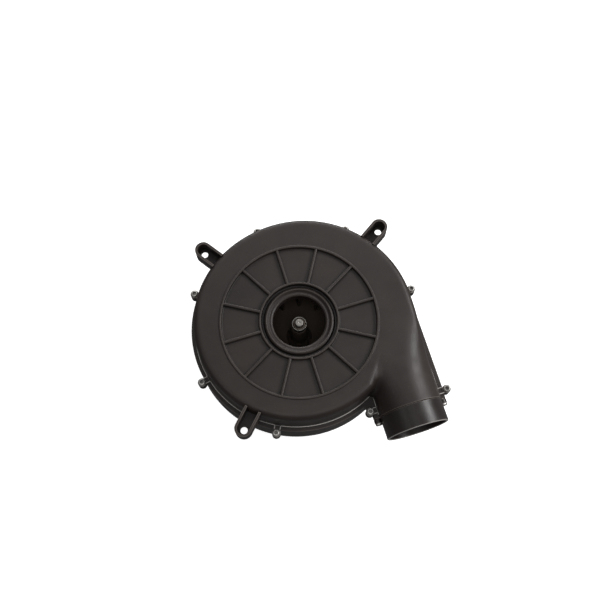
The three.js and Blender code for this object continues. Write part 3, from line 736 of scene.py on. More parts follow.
def windings(name):
    """Enamelled wire laid round in turns."""
    n = Nodes(name)
    wave = n.node("ShaderNodeTexWave", Vector=n.place, Scale=190.0, Distortion=3.0, Detail=3.0)
    wave.wave_type = "RINGS"
    wave.rings_direction = "Z"
    turns = wave.outputs["Fac"]
    colour = n.mix(turns, rgb(96, 38, 16), rgb(196, 104, 52))
    return n.finish(colour, n.span(turns, 0, 1, 0.5, 0.3), n.bump(turns, 0.8, 0.0003), 0.7)


def rubber(name):
    """Dull black rubber with a grey bloom."""
    n = Nodes(name)
    colour = n.mix(n.span(n.noise(160, 4), 0.3, 0.7, 0, 1), rgb(24, 24, 25), rgb(42, 41, 41))
    bloom = n.ramp(n.noise(40, 5, 0.7), [(0.55, (0, 0, 0, 1)), (0.8, (1, 1, 1, 1))])
    colour = n.mix(n.maths("MULTIPLY", bloom, 0.25), colour, rgb(86, 86, 84))
    return n.finish(colour, n.span(n.noise(90, 3), 0.3, 0.7, 0.72, 0.92),
                    n.bump(n.noise(1800, 3), 0.4, 0.00008), 0.0, 0.4)


HOUSING_PLASTIC = plastic("housing_plastic_black", rgb(31, 24, 21), rgb(45, 36, 32))
COLLAR_PLASTIC = plastic("collar_plastic_black", rgb(26, 20, 18), rgb(37, 30, 27), (0.30, 0.42),
                         edge_highlight=0.6)
# Painted light: the wheel's black plastic is lightened well past the housing's, so it shows through
# the shade inside the inlet's eye.
WHEEL_PLASTIC_LIGHTENED = plastic("wheel_plastic_lightened", rgb(70, 62, 55), rgb(80, 71, 63), (0.72, 0.82),
                        specular=0.2, edge_highlight=0)
NYLON = plastic("connector_nylon_natural", rgb(205, 199, 182), rgb(226, 221, 206), (0.4, 0.5))
RUBBER = rubber("elastomer_black")
SCREW_STEEL = steel("screw_steel_plated", rgb(190, 187, 182), rgb(236, 233, 228))
SHAFT_STEEL = steel("shaft_steel_mottled", rgb(112, 107, 102), rgb(186, 183, 178), (0.3, 0.55))
SPRING_STEEL = steel("spring_steel_strip", rgb(104, 101, 97), rgb(158, 154, 149))
FRAME_STEEL = steel("frame_steel_zinc", rgb(158, 160, 162), rgb(200, 202, 203), (0.38, 0.55),
                    (40, 40, 200), 0.6)
PLATE_STEEL = steel("plate_steel_zinc", rgb(160, 161, 160), rgb(196, 196, 193), (0.36, 0.52),
                    (300, 20, 20), 0.6)
CAST_ALUMINIUM = steel("cast_aluminium", rgb(150, 151, 152), rgb(188, 189, 190), (0.45, 0.62),
                       (200, 200, 200))
BEARING_STEEL = steel("bearing_steel_ground", rgb(160, 160, 160), rgb(206, 206, 205))
BRASS = steel("terminal_brass_tinned", rgb(150, 128, 78), rgb(206, 182, 122))
LAMINATION = laminations("stator_laminations")
COPPER = windings("copper_windings")


# ---- pieces

def piece(name, obj, material, body, node, sharp=32):
    """Gives a finished mesh its scale, shading, material and place in the frame."""
    obj.data.transform(Matrix.Scale(MM, 4))
    obj.name = name
    obj.data.name = name
    obj.data.materials.clear()
    obj.data.materials.append(material)
    obj.data.polygons.foreach_set("material_index", [0] * len(obj.data.polygons))
    obj.data.shade_smooth()
    obj.data.set_sharp_from_angle(angle=math.radians(sharp))
    normals = obj.modifiers.new("normals", "WEIGHTED_NORMAL")
    normals.keep_sharp = True
    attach(obj, body)
    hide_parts(node)


def repeated(node, source, centres, material):
    """Copies of one mesh at several plan centres, each standing for its own CAD node."""
    for i, (x, y, *_) in enumerate(centres):
        twin = moved(copied(source), Matrix.Translation((x, y, 0)))
        piece(f"{node}_fine_{i + 1}", twin, material, HOUSING, f"{node}_{i + 1}")
    bpy.data.objects.remove(source)


def boss_centres():
    """(x, y, direction away from the wall) of every shell screw."""
    centres = []
    for degrees in SCROLL_SCREWS:
        angle = math.radians(degrees)
        centres.append((*polar(scroll_radius(angle) + BOSS_REACH, angle), angle))
    for along, across in DUCT_SCREWS:
        outward = DUCT_TURN if across > TUBE_CENTRE else DUCT_TURN + math.pi
        centres.append((*duct_point(along, across), outward))
    return centres


def post_centres():
    """(x, y) of the three posts that carry the motor."""
    return [polar(POST_CIRCLE_R, angle) for angle in around(3, math.radians(30))]


def bolt_centres():
    """(x, y) of the motor's four through-bolts."""
    return [polar(BOLT_CIRCLE_R, angle) for angle in around(4, math.radians(45))]


def bosses(low, high, web_low, web_high):
    """Screw bosses, each with the web that ties it to the shell beside it."""
    made, length, half = [], 12, 3
    for x, y, outward in boss_centres():
        boss = cylinder(BOSS_R, low, high, x, y, 40, 0.5)
        web = turned_by(prism([(-length, -half), (0, -half), (0, half), (-length, half)],
                              web_low, web_high), outward)
        made.append(join(boss, moved(web, Matrix.Translation((x, y, 0)))))
    return made


def rods(centres, radius, low, high):
    """Upright cylinders at plan centres, to drill holes with."""
    return [cylinder(radius, low, high, x, y) for x, y, *_ in centres]


def duct_strip(margin, low, high, taper):
    """The flange on both sides of the duct; its right edge draws in by `taper` at the seam."""
    start, fork, end = -2, 70, DUCT_END - 3

    def right(along):
        return SCROLL_RADII[-1] + margin - taper * max(0, along) / DUCT_END

    return prism([
        duct_point(start, TUBE_CENTRE), duct_point(start, right(start)), duct_point(0, right(0)),
        duct_point(end, right(end)), duct_point(end, DUCT_LEFT - margin),
        duct_point(fork, DUCT_LEFT - margin),
    ], low, high)


def corner_web(low, high):
    """The flat corner between the tongue and the screw on the duct's inner side."""
    along, across = DUCT_SCREWS[0]
    return prism([
        duct_point(along - 28, DUCT_LEFT + 2), duct_point(along, DUCT_LEFT + 2),
        duct_point(along, across - 2), duct_point(along - 12, across - 4.5),
    ], low, high)


def inlet_plate():
    """Raised outer ring, recessed panel, inner ring and bell mouth, in one turned section."""
    crest = [
        (PLATE_EDGE_R + 1.3, FACE_Z), (RING_R + 1.3, FACE_Z, 0.6), (RING_R + 0.8, CREST_Z, 0.45),
        (RING_R - 0.9, CREST_Z, 0.6), (RING_R - 1.5, PANEL_Z, 0.8),
    ]
    inner_ring = [
        (INNER_RING_R + 1.5, PANEL_Z, 0.8), (INNER_RING_R + 0.9, CREST_Z - 0.2, 0.7),
        (INNER_RING_R - 0.9, CREST_Z - 0.2, 0.7), (INNER_RING_R - 1.4, CREST_Z - 5, 0.6),
        (INNER_RING_R - 3.2, CREST_Z - 5, 0.6),
    ]
    bell_mouth = [
        (THROAT_R + 7.4, CREST_Z - 2.4, 0.8), (THROAT_R + 5.8, CREST_Z - 1.2, 0.9),
        (THROAT_R + 3.2, CREST_Z - 3.8, 0.9), (THROAT_R + 1.4, CREST_Z - 3.4, 0.7),
        (THROAT_R, CREST_Z - 4.4, 0.8), (THROAT_R, THROAT_Z, 0.6),
        (THROAT_R + 2.2, THROAT_Z, 0.6), (THROAT_R + 3.4, CREST_Z - 7.8, 0.5),
    ]
    underside = [
        (INNER_RING_R + 0.8, CREST_Z - 7.6), (INNER_RING_R + 1.6, PANEL_Z - WALL),
        (RING_R + 1.1, PANEL_Z - WALL), (PLATE_EDGE_R + 1.3, FACE_Z - WALL),
    ]
    return lathe(crest + inner_ring + bell_mouth + underside, 240, 4)


def rib(angle):
    """A drafted rib with a rounded crest, from the inner ring to the outer ring."""
    inner, outer = INNER_RING_R + 0.2, RING_R - 0.6
    root, foot, top = PANEL_Z - 0.6, PANEL_Z + 0.1, PANEL_Z + 3.1
    section = filleted([
        (-1.8, root), (1.8, root), (1.7, foot, 0.2), (1.3, top, 1.2), (-1.3, top, 1.2),
        (-1.7, foot, 0.2),
    ], 5)
    count = len(section)
    vertices = [(x, y, z) for x in (inner, outer) for y, z in section]
    faces = [tuple(range(count)), tuple(range(count, 2 * count))[::-1]]
    faces += [(i, (i + 1) % count, (i + 1) % count + count, i + count) for i in range(count)]
    return turned_by(temporary(vertices, faces), angle)


def stadium(centre, half, inner):
    """Outline of an ear: straight sides from `inner` out to a round end, in plan."""
    x, y = centre
    reach, angle = math.hypot(x, y), math.atan2(y, x)
    local = [(inner, -half)]
    local += [(reach + half * math.cos(a), half * math.sin(a))
              for a in np.linspace(-math.pi / 2, math.pi / 2, 33)]
    local += [(inner, half)]
    cos, sin = math.cos(angle), math.sin(angle)
    return [(u * cos - v * sin, u * sin + v * cos) for u, v in local]


def ear(centre):
    """An open channel standing out from the scroll, with a screw hole through its floor."""
    wall = scroll_radius(math.atan2(centre[1], centre[0]))
    body = prism(stadium(centre, EAR_HALF, wall - 3), EAR_FLOOR_Z, FACE_Z)
    channel = prism(stadium(centre, EAR_HALF - EAR_WALL, wall - 4),
                    EAR_FLOOR_Z + EAR_FLOOR, FACE_Z + 3)
    hole = cylinder(EAR_HOLE_R, EAR_FLOOR_Z - 2, FACE_Z, *centre, segments=48)
    return bevelled(cut(body, channel, hole), 0.55, 3, 50)


def rear_field(x, y, z):
    return volute_field(x, y, z, False)


def front_field(x, y, z):
    return volute_field(x, y, z, True)


STEP = 1.5
PLAN_LOW, PLAN_HIGH = (-122.0, -122.0), (146.0, 124.0)
FAR = 500  # wider than the part, for cutting blocks


def beyond_seam():
    """Everything past the seam plane of the outlet."""
    return prism([duct_point(DUCT_END, -20), duct_point(DUCT_END, 190),
                  duct_point(DUCT_END + 90, 190), duct_point(DUCT_END + 90, -20)], -50, 250)


def front_shell():
    """Skin over the volute, hollowed, with rim, bosses, ears, inlet plate and holes."""
    low = (*PLAN_LOW, FRONT_RIM_Z - 7.0)
    high = (*PLAN_HIGH, CREST_Z + 5)
    shell = skin(front_field, low, high, STEP)
    hollow = skin(front_field, low, high, STEP, -WALL)
    rim_top = FRONT_RIM_Z + 1.5
    rim = bevelled(join(prism(scroll_outline(0.8), FRONT_RIM_Z, rim_top),
                        duct_strip(0.8, FRONT_RIM_Z, rim_top, 2.5)), 0.35, 2, 50)
    shell = join(shell, rim, *bosses(FRONT_RIM_Z, BOSS_TOP_Z, FRONT_RIM_Z, BOSS_TOP_Z - 0.4),
                 *[ear(centre) for centre in EARS])
    shell = cut(shell, slab(FRONT_RIM_Z - 60, FRONT_RIM_Z), hollow, beyond_seam())
    plate_opening = cylinder(PLATE_EDGE_R - 0.3, CREST_Z - 20, CREST_Z + 8, segments=240)
    shell = cut(shell, plate_opening)
    plate = join(inlet_plate(), *[rib(angle) for angle in around(RIB_COUNT, RIB_FIRST)])
    shell = join(shell, plate)
    for centre in EARS:
        wall = scroll_radius(math.atan2(centre[1], centre[0]))
        shell = cut(shell, prism(stadium(centre, EAR_HALF - EAR_WALL - 0.05, wall + 0.6),
                                 EAR_FLOOR_Z + EAR_FLOOR + 0.05, FACE_Z + 3))
    return cut(shell, *rods(boss_centres(), SCREW_HOLE_R, FRONT_RIM_Z - 3, BOSS_TOP_Z + 3))


def along_outlet(part):
    """Turns a part made about Z onto the outlet's axis, its z becoming the distance along."""
    x, y = duct_point(0, TUBE_CENTRE)
    matrix = (Matrix.Translation((x, y, OUTLET_Z)) @ Matrix.Rotation(DUCT_TURN, 4, "Z")
              @ Matrix.Rotation(math.pi / 2, 4, "X"))
    return moved(part, matrix)


def lug_rod(side, radius, start, end, segments=32, edge=0.0):
    """A rod beside the outlet, where a collar screw runs."""
    part = cylinder(radius, start, end, side * LUG_REACH, LUG_Z - OUTLET_Z, segments, edge)
    return along_outlet(part)


def rear_shell():
    """Like the front shell, but wider below the ledge of its flange; above the ledge the
    cavity narrows to meet the front shell's wall."""
    low = (*PLAN_LOW, REAR_Z - 5)
    high = (*PLAN_HIGH, REAR_RIM_Z + 8.0)
    ledge = REAR_RIM_Z - 3.4
    shell = skin(rear_field, low, high, STEP)
    hollow = skin(rear_field, low, high, STEP, -WALL)
    flange = bevelled(join(
        prism(scroll_outline(REAR_STEP), ledge, REAR_RIM_Z),
        duct_strip(REAR_STEP, ledge, REAR_RIM_Z, 1),
        corner_web(ledge, REAR_RIM_Z),
    ), 0.4, 2, 50)
    lugs = [lug_rod(side, LUG_R, DUCT_END - 7, DUCT_END, 40, 0.4) for side in (-1, 1)]
    shell = join(shell, flange, *bosses(BOSS_LOW_Z, REAR_RIM_Z, ledge, REAR_RIM_Z), *lugs)
    hollow = cut(hollow, slab(ledge, ledge + 60))
    duct_mouth = skin(duct_field, (20.0, -122.0, REAR_Z - 5), (*PLAN_HIGH, CREST_Z + 5),
                      STEP, -WALL)
    duct_mouth = cut(duct_mouth, slab(ledge - 61, ledge - 1))
    mouth = prism(scroll_outline(-WALL), ledge - 1, REAR_RIM_Z + 20)
    cavity = join(hollow, mouth, duct_mouth)
    seal_seat = cylinder(9.6, REAR_Z - 4, REAR_Z + 9, segments=64)
    shell = cut(shell, slab(REAR_RIM_Z, REAR_RIM_Z + 60), cavity, beyond_seam(), seal_seat)
    posts = [cylinder(6, POST_Z, REAR_Z + 1, x, y, 40, 0.5) for x, y in post_centres()]
    shell = join(shell, *posts)
    for angle in around(9, math.radians(10)):
        stiffener = block(46, 1.8, 2.4, 66, 0, REAR_Z - 0.9, angle)
        shell = join(shell, bevelled(stiffener, 0.5, 2))
    holes = rods(boss_centres(), SCREW_HOLE_R, BOSS_LOW_Z + 1.5, REAR_RIM_Z + 3)
    holes += rods(post_centres(), SCREW_HOLE_R, POST_Z - 3, POST_Z + 9)
    holes += [lug_rod(side, SCREW_HOLE_R, DUCT_END - 6, DUCT_END + 3) for side in (-1, 1)]
    return cut(shell, *holes)


def outlet_collar():
    """Plain tube with a thinner spigot inside the duct and a screw lug on each side."""
    seam, mouth = DUCT_END + GAP, DUCT_END + TUBE_LENGTH
    bore = TUBE_R - TUBE_WALL
    collar = along_outlet(lathe([
        (SPIGOT_BORE_R, seam - SPIGOT_LENGTH, 0.4), (SPIGOT_R, seam - SPIGOT_LENGTH, 0.6),
        (SPIGOT_R, seam), (TUBE_R, seam, 0.5), (TUBE_R, mouth, 0.8), (bore, mouth, 0.8),
        (bore, seam + 3, 0.8), (SPIGOT_BORE_R, seam, 0.5),
    ], 160, 4))
    for side in (-1, 1):
        lug = lug_rod(side, LUG_R, seam, seam + LUG_LENGTH, 40, 0.5)
        core = along_outlet(cylinder(bore + 1, seam - 3, seam + 9, segments=96))
        collar = join(collar, cut(lug, core))
    return cut(collar, *[lug_rod(side, SCREW_HOLE_R, seam - 2, seam + 7) for side in (-1, 1)])


def pan_head_screw(seat, tip):
    """Round head with a six-sided socket, standing up from its seat."""
    body = lathe([(0, tip), (1.1, tip, 0.3), (1.5, tip + 1.2), (1.5, seat), (3.4, seat, 0.2),
                  (3.4, seat + 1.3, 0.6), (2.7, seat + 2.2, 0.5), (0, seat + 2.2)], 48, 4)
    return cut(body, cylinder(2.1, seat + 0.2, seat + 4, segments=6))


def hexagon(radius):
    return [polar(radius, angle) for angle in around(6)]


def hex_head(radius, low, high):
    """A hexagon whose lower corners are turned off at a slant."""
    head = prism(hexagon(radius), low, high)
    cone = lathe([(0, low - 1), (radius * 0.80, low - 0.01), (radius * 1.12, low + 1.1),
                  (radius * 1.12, high + 1), (0, high + 1)], 48)
    return combine(head, [cone], "INTERSECT")


def impeller():
    """Hub, back plate, shroud with a raised eye, and blades that lean back from the eye."""
    hub = lathe([
        (SHAFT_BORE_R, WHEEL_LOW_Z - 2), (13, WHEEL_LOW_Z - 2, 0.6), (13, WHEEL_LOW_Z + 2, 1),
        (9, WHEEL_LOW_Z + 10, 3), (HUB_R + 1.5, HUB_Z - 8, 0.6), (HUB_R, HUB_Z - 8),
        (HUB_R, HUB_Z, 0.5), (SHAFT_BORE_R, HUB_Z, 0.4),
    ], 96, 4)
    backplate = lathe([(10, WHEEL_LOW_Z), (WHEEL_R, WHEEL_LOW_Z, 0.6),
                       (WHEEL_R, WHEEL_LOW_Z + 2, 0.6), (10, WHEEL_LOW_Z + 2)], 160)
    shroud = lathe([
        (EYE_R, WHEEL_TOP_Z + 4, 0.6), (EYE_R + 2, WHEEL_TOP_Z + 4, 0.6),
        (EYE_R + 2.6, WHEEL_TOP_Z, 2.5), (WHEEL_R, WHEEL_TOP_Z, 0.6),
        (WHEEL_R, WHEEL_TOP_Z - 2, 0.6), (EYE_R, WHEEL_TOP_Z - 2, 1.2),
    ], 160)
    start, end, lean = EYE_R + 1.5, WHEEL_R - 0.5, math.radians(38)
    half_thickness, last = 1.0, 18
    middle = []
    for i in range(last + 1):
        t = i / last
        middle.append(np.array(polar(start + (end - start) * t, lean * t**1.3)))
    left, right = [], []
    for i, point in enumerate(middle):
        tangent = middle[min(last, i + 1)] - middle[max(0, i - 1)]
        tangent /= np.linalg.norm(tangent)
        normal = np.array([-tangent[1], tangent[0]]) * half_thickness
        left.append(tuple(point + normal))
        right.append(tuple(point - normal))
    wheel = join(hub, backplate, shroud)
    for angle in around(BLADE_COUNT):
        blade = prism(right + left[::-1], WHEEL_LOW_Z + 1, WHEEL_TOP_Z - 1)
        wheel = join(wheel, turned_by(blade, angle))
    return wheel


def hub_clip():
    """A spring band round the split hub, open at one side."""
    low, high = HUB_Z - 7, HUB_Z + 0.4
    band = lathe([(HUB_R + GAP, low, 0.2), (CLIP_R, low, 0.3), (CLIP_R, high, 0.3),
                  (HUB_R + GAP, high, 0.2)], 80, 3)
    return cut(band, block(4, 1.6, 20, CLIP_R - 0.3, 0, HUB_Z))


def cooling_fan():
    """A small open fan behind the rear wall, its blades under a disc."""
    high = REAR_Z - 3.4
    fan = lathe([(SHAFT_BORE_R, high - 7.2, 0.3), (9, high - 7.2, 0.6), (9, high - 1.5, 1.2),
                 (FAN_R, high - 1.5, 0.4), (FAN_R, high, 0.4), (SHAFT_BORE_R, high, 0.3)], 120)
    for angle in around(10):
        outline = filleted([(8.5, -0.75), (FAN_R, -0.75, 0.5), (FAN_R, 0.75, 0.5), (8.5, 0.75)])
        fan = join(fan, turned_by(prism(outline, high - 7, high - 1), angle))
    return fan


def motor_plate():
    """A flat plate with three round lobes over the posts."""
    outline = []
    centres = post_centres()
    lobe_r, lobe_half_turn, waist_r, waist_start = 10, 1.25, 44, 0.36
    for i, (x, y) in enumerate(centres):
        angle = math.atan2(y, x)
        outline += [(x + lobe_r * math.cos(a), y + lobe_r * math.sin(a))
                    for a in np.linspace(angle - lobe_half_turn, angle + lobe_half_turn, 25)]
        following = math.atan2(centres[(i + 1) % 3][1], centres[(i + 1) % 3][0])
        following += 2 * math.pi if following < angle else 0
        outline += [polar(waist_r, a)
                    for a in np.linspace(angle + waist_start, following - waist_start, 41)]
    plate = prism(outline, PLATE_Z, PLATE_TOP_Z)
    low, high = PLATE_Z - 2, PLATE_TOP_Z + 2
    plate = cut(plate, cylinder(29, low, high, segments=128), *rods(centres, 4.6, low, high),
                *rods(bolt_centres(), BOLT_HOLE_R, low, high))
    return bevelled(plate, 0.3, 2, 50)


def isolator():
    """A rubber bush held in the plate by its waist."""
    low, high = PLATE_Z - 1.4, PLATE_Z + 3.2
    return lathe([
        (SCREW_HOLE_R, low, 0.2), (6.6, low, 0.6), (6.6, PLATE_Z - GAP, 0.3),
        (4.2, PLATE_Z - GAP), (4.2, PLATE_TOP_Z + GAP), (6.6, PLATE_TOP_Z + GAP, 0.4),
        (6.6, high, 0.5), (SCREW_HOLE_R, high, 0.2),
    ], 64, 4)


def plate_screw():
    """A hexagon screw with its washer, up through an isolator into a post."""
    seat = PLATE_Z - 1.6
    washer = lathe([(0, seat - 1), (5, seat - 1, 0.4), (5, seat, 0.2), (1.5, seat),
                    (1.5, POST_Z + 7), (1.1, POST_Z + 8), (0, POST_Z + 8)], 48, 3)
    return join(hex_head(3.6, seat - 4, seat - 0.5), washer)


def through_bolt():
    """A long bolt from the rear bell to the motor plate."""
    seat = SHOULDER_Z - 0.2
    shank = lathe([(0, seat - 1), (1.75, seat - 1), (1.75, PLATE_Z + 7), (1.3, PLATE_Z + 7.5),
                   (0, PLATE_Z + 7.5)], 32)
    return join(hex_head(3.4, seat - 3, seat), shank)


def through_nut():
    low = PLATE_Z + 2.2
    nut = hex_head(3.6, low, low + 3)
    return cut(nut, cylinder(2.15, low - 2, low + 5))


def with_vents(part, count, radius, length, width, middle, height):
    """Cuts round-ended radial slots through a part."""
    for angle in around(count):
        slot = filleted([(radius - length / 2, -width / 2, width * 0.45),
                         (radius + length / 2, -width / 2, width * 0.45),
                         (radius + length / 2, width / 2, width * 0.45),
                         (radius - length / 2, width / 2, width * 0.45)], 5)
        part = cut(part, turned_by(prism(slot, middle - height / 2, middle + height / 2), angle))
    return part


def front_bell():
    """The motor's upper cover with its bearing seat and vents."""
    high, low = PLATE_Z - 0.2, STATOR_TOP_Z + 0.2
    inner = MOTOR_R - BELL_WALL
    bell = lathe([
        (6.5, high, 0.4), (MOTOR_R, high, 3), (MOTOR_R, low, 0.3), (inner, low, 0.2),
        (inner, high - 2.5, 1.5), (SEAT_R, high - 2.5, 0.8), (SEAT_R, high - 9.6, 0.4),
        (BEARING_R + GAP, high - 9.6, 0.3), (BEARING_R + GAP, high - 2), (6.5, high - 2, 0.4),
    ], 160)
    bell = with_vents(bell, 6, 24, 14, 8, high, 8)
    return cut(bell, *rods(bolt_centres(), BOLT_HOLE_R, high - 8, high + 3))


def rear_bell():
    """The motor's lower cover, stepped in to a flat cap with the second bearing seat."""
    high, floor = STATOR_LOW_Z - 0.2, 2.5
    inner = MOTOR_R - BELL_WALL
    bell = lathe([
        (0, 0), (CAP_R + 1.2, 0, 1.6), (CAP_R + 2.4, SHOULDER_Z, 0.8),
        (MOTOR_R, SHOULDER_Z, 1.8), (MOTOR_R, high, 0.3), (inner, high, 0.2),
        (inner, SHOULDER_Z + BELL_WALL, 1), (CAP_R + 0.2, SHOULDER_Z + BELL_WALL, 1),
        (CAP_R - 0.8, floor, 1), (SEAT_R, floor, 0.8), (SEAT_R, floor + 8.5, 0.4),
        (BEARING_R + GAP, floor + 8.5, 0.3), (BEARING_R + GAP, floor), (0, floor),
    ], 160)
    bell = with_vents(bell, 8, 23, 11, 6, 1, 8)
    return cut(bell, *rods(bolt_centres(), BOLT_HOLE_R, SHOULDER_Z - 3, SHOULDER_Z + 6))


def stator_core():
    """The stack with open slots, each sheet's edge standing out a little from its joints."""
    profile = [(36.5, STATOR_LOW_Z), (MOTOR_R - 0.1, STATOR_LOW_Z)]
    sheets = 24
    thickness = (STATOR_TOP_Z - STATOR_LOW_Z) / sheets
    for i in range(sheets):
        z = STATOR_LOW_Z + i * thickness
        profile += [(MOTOR_R - 0.12, z + 0.05), (MOTOR_R, z + 0.18),
                    (MOTOR_R, z + thickness - 0.18), (MOTOR_R - 0.12, z + thickness - 0.05)]
    profile += [(MOTOR_R - 0.1, STATOR_TOP_Z), (36.5, STATOR_TOP_Z)]
    core = lathe(profile, 128)
    teeth = lathe([(24.6, STATOR_LOW_Z), (37, STATOR_LOW_Z), (37, STATOR_TOP_Z),
                   (24.6, STATOR_TOP_Z)], 144)
    core = join(core, teeth)
    half_slot = [(23, 4), (26, 4), (26.6, 9), (34.8, 8.5)]
    for angle in around(12):
        outline = [polar(r, angle - math.radians(h)) for r, h in half_slot]
        outline += [polar(r, angle + math.radians(h)) for r, h in half_slot[::-1]]
        core = cut(core, prism(outline, STATOR_LOW_Z - 1, STATOR_TOP_Z + 1))
    return cut(core, *rods(bolt_centres(), BOLT_HOLE_R, STATOR_LOW_Z - 2, STATOR_TOP_Z + 2))


def stator_winding():
    """Two lumpy rings of end turns, and the bars that join them through the slots."""
    parts = []
    rise = 7
    for low, high in ((STATOR_LOW_Z - rise, STATOR_LOW_Z - GAP),
                      (STATOR_TOP_Z + GAP, STATOR_TOP_Z + rise)):
        ring = lathe([(27, low, 1.6), (34.3, low, 2.4), (34.3, high, 2.4), (27, high, 1.6)],
                     144, 5)
        for vertex in ring.data.vertices:
            angle = math.atan2(vertex.co.y, vertex.co.x)
            outside = math.hypot(vertex.co.x, vertex.co.y) > 31
            swell = 1 - (0.022 if outside else 0) * (0.5 + 0.5 * math.cos(12 * angle + math.pi))
            vertex.co.x *= swell
            vertex.co.y *= swell
        parts.append(ring)
    middle = (STATOR_LOW_Z + STATOR_TOP_Z) / 2
    height = STATOR_TOP_Z - STATOR_LOW_Z + 4
    bars = [block(5, 5.6, height, 30.7, 0, middle, angle) for angle in around(12)]
    return join(*parts, *bars)


def bearing(low):
    """Inner and outer ring with a recessed shield between them, as one body."""
    high = low + BEARING_HEIGHT
    return lathe([
        (SHAFT_BORE_R, low, 0.3), (6, low, 0.2), (6.3, low + 0.6), (8.9, low + 0.6),
        (9.2, low, 0.2), (BEARING_R, low, 0.5), (BEARING_R, high, 0.5), (9.2, high, 0.2),
        (8.9, high - 0.6), (6.3, high - 0.6), (6, high, 0.2), (SHAFT_BORE_R, high, 0.3),
    ], 80, 3)


def shaft():
    """Ground bar with chamfered ends and a centre mark in the tip."""
    return lathe([
        (0, SHAFT_LOW_Z), (SHAFT_R - 0.6, SHAFT_LOW_Z), (SHAFT_R, SHAFT_LOW_Z + 0.6),
        (SHAFT_R, SHAFT_TIP_Z - 0.6, 0.2), (SHAFT_R - 0.6, SHAFT_TIP_Z, 0.2),
        (1.0, SHAFT_TIP_Z, 0.1), (0, SHAFT_TIP_Z - 0.9),
    ], 64, 3)


def connector():
    """An open two-way terminal housing beside the stator."""
    z = STATOR_TOP_Z + 6.5
    quarter = math.pi / 2
    body = block(12, 16, 9, MOTOR_R + GAP + 6, 0, z, quarter)
    body = cut(body, block(12, 13, 6, MOTOR_R + GAP + 9, 0, z, quarter))
    return bevelled(body, 0.4, 2, 50)


piece("front_shell_moulding", front_shell(), HOUSING_PLASTIC, HOUSING, "front_shell")
piece("rear_shell_moulding", rear_shell(), HOUSING_PLASTIC, HOUSING, "rear_shell")
piece("outlet_collar_moulding", outlet_collar(), COLLAR_PLASTIC, HOUSING, "outlet_collar")

repeated("shell_screw", pan_head_screw(BOSS_TOP_Z + 0.2, BOSS_LOW_Z + 2.2), boss_centres(),
         SCREW_STEEL)
for i, side in enumerate((-1, 1)):
    screw = pan_head_screw(DUCT_END + GAP + LUG_LENGTH + 0.2, DUCT_END - 5)
    moved(screw, Matrix.Translation((side * LUG_REACH, LUG_Z - OUTLET_Z, 0)))
    piece(f"collar_screw_fine_{i + 1}", along_outlet(screw), SCREW_STEEL, HOUSING,
          f"collar_screw_{i + 1}")

piece("shaft_bar", shaft(), SHAFT_STEEL, ROTOR, "shaft")
piece("wheel_moulding", impeller(), WHEEL_PLASTIC_LIGHTENED, ROTOR, "impeller")
piece("hub_clip_band", hub_clip(), SPRING_STEEL, ROTOR, "hub_clip")
piece("cooling_fan_moulding", cooling_fan(), WHEEL_PLASTIC_LIGHTENED, ROTOR, "cooling_fan")

piece("motor_plate_fine", motor_plate(), PLATE_STEEL, HOUSING, "motor_plate")
repeated("isolator", isolator(), post_centres(), RUBBER)
repeated("plate_screw", plate_screw(), post_centres(), SCREW_STEEL)
piece("front_bell_pressing", front_bell(), FRAME_STEEL, HOUSING, "motor_front_bell")
piece("rear_bell_pressing", rear_bell(), FRAME_STEEL, HOUSING, "motor_rear_bell")
piece("stator_stack", stator_core(), LAMINATION, HOUSING, "stator_core", sharp=20)
piece("stator_coils", stator_winding(), COPPER, HOUSING, "stator_winding")
for node in ("front_bearing", "rear_bearing"):
    piece(f"{node}_fine", bearing(cad(node)[0].z), BEARING_STEEL, HOUSING, node)
repeated("through_bolt", through_bolt(), bolt_centres(), SCREW_STEEL)
repeated("through_nut", through_nut(), bolt_centres(), SCREW_STEEL)
piece("connector_shell", connector(), NYLON, HOUSING, "connector_housing")


# CAD nodes whose own shape is right: hidden or flat parts, with the finish of their slot.
CARRIED = {
    "housing_gasket": RUBBER, "shaft_seal": RUBBER, "rotor_core": LAMINATION,
    "rotor_end_ring_front": CAST_ALUMINIUM, "rotor_end_ring_rear": CAST_ALUMINIUM,
    "preload_washer": SPRING_STEEL, "connector_blade_1": BRASS, "connector_blade_2": BRASS,
    "ground_tab": BRASS,
}
for node, material in CARRIED.items():
    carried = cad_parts[node]
    for material_slot in carried.material_slots:
        material_slot.material = material


# ---- floor, light and camera

def floor_material():
    """Pale paper that stays bright to look at but throws little light back on the part."""
    n = Nodes("studio_floor")
    paper = n.mix(n.noise(3, 2), (0.86, 0.86, 0.86, 1), (0.90, 0.90, 0.90, 1))
    seen = n.tree.nodes.new("ShaderNodeLightPath").outputs["Is Camera Ray"]
    colour = n.mix(seen, (0.16, 0.16, 0.16, 1), paper)
    n.feed(n.shader.inputs["Emission Color"], paper)
    n.feed(n.shader.inputs["Emission Strength"], n.span(seen, 0, 1, 0.05, 0.9))
    return n.finish(colour, 0.9, None, 0.0, 0.2)


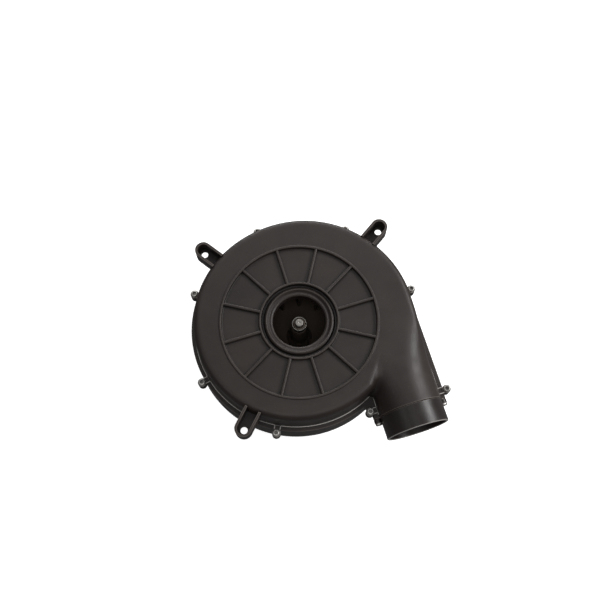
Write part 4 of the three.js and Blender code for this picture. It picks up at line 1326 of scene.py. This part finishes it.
REACH = 6.0
floor_mesh = bpy.data.meshes.new("studio_floor")
floor_mesh.from_pydata([(-REACH, -REACH, 0), (REACH, -REACH, 0), (REACH, REACH, 0),
                        (-REACH, REACH, 0)], [], [(0, 1, 2, 3)])
floor = bpy.data.objects.new("studio_floor", floor_mesh)
floor.location.z = cad_box[0].z - 0.0002
floor_mesh.materials.append(floor_material())
bpy.context.scene.collection.objects.link(floor)


def softbox(name, place, target, width, height, watts):
    """A rectangular area light, in metres and watts, that faces its target."""
    data = bpy.data.lights.new(name, "AREA")
    data.shape = "RECTANGLE"
    data.size, data.size_y = width, height
    data.energy = watts
    lamp = bpy.data.objects.new(name, data)
    lamp.location = place
    lamp.rotation_euler = (Vector(target) - Vector(place)).to_track_quat("-Z", "Y").to_euler()
    bpy.context.scene.collection.objects.link(lamp)
    return lamp


MIDDLE, DUCT_SIDE = (0, 0, 0.1), (0.1, 0, 0.1)
softbox("softbox_top", (-0.1, 0.95, 1.25), MIDDLE, 1.4, 0.8, 4.6)
softbox("softbox_back", (0.0, 1.5, 0.35), MIDDLE, 1.8, 0.4, 12)
softbox("softbox_right", (1.0, 0.2, 0.86), DUCT_SIDE, 1.0, 0.36, 12)
softbox("softbox_left", (-0.75, -0.35, 1.2), MIDDLE, 0.8, 0.3, 0.8)
softbox("softbox_eye", (0.05, -0.35, 1.3), MIDDLE, 0.5, 0.5, 1.8)

# White to look at, and dim as a source of light and reflections.
world = bpy.data.worlds.new("studio")
world.use_nodes = True
backdrop = world.node_tree.nodes["Background"]
seen = world.node_tree.nodes.new("ShaderNodeLightPath").outputs["Is Camera Ray"]
level = world.node_tree.nodes.new("ShaderNodeMapRange")
level.inputs["To Min"].default_value = 0.16
level.inputs["To Max"].default_value = 0.95
world.node_tree.links.new(seen, level.inputs["Value"])
world.node_tree.links.new(level.outputs["Result"], backdrop.inputs["Strength"])
backdrop.inputs["Color"].default_value = (1, 1, 1, 1)
bpy.context.scene.world = world
bpy.context.scene.view_settings.view_transform = "Standard"

camera_data = bpy.data.cameras.new("camera")
camera_data.lens = 48
camera_data.sensor_width = 36
camera = bpy.data.objects.new("camera", camera_data)
camera.location = (0.00075, -0.2148, 0.8655)
camera.rotation_euler = (math.radians(18), 0, 0)
bpy.context.scene.collection.objects.link(camera)
bpy.context.scene.camera = camera

bpy.context.view_layer.update()
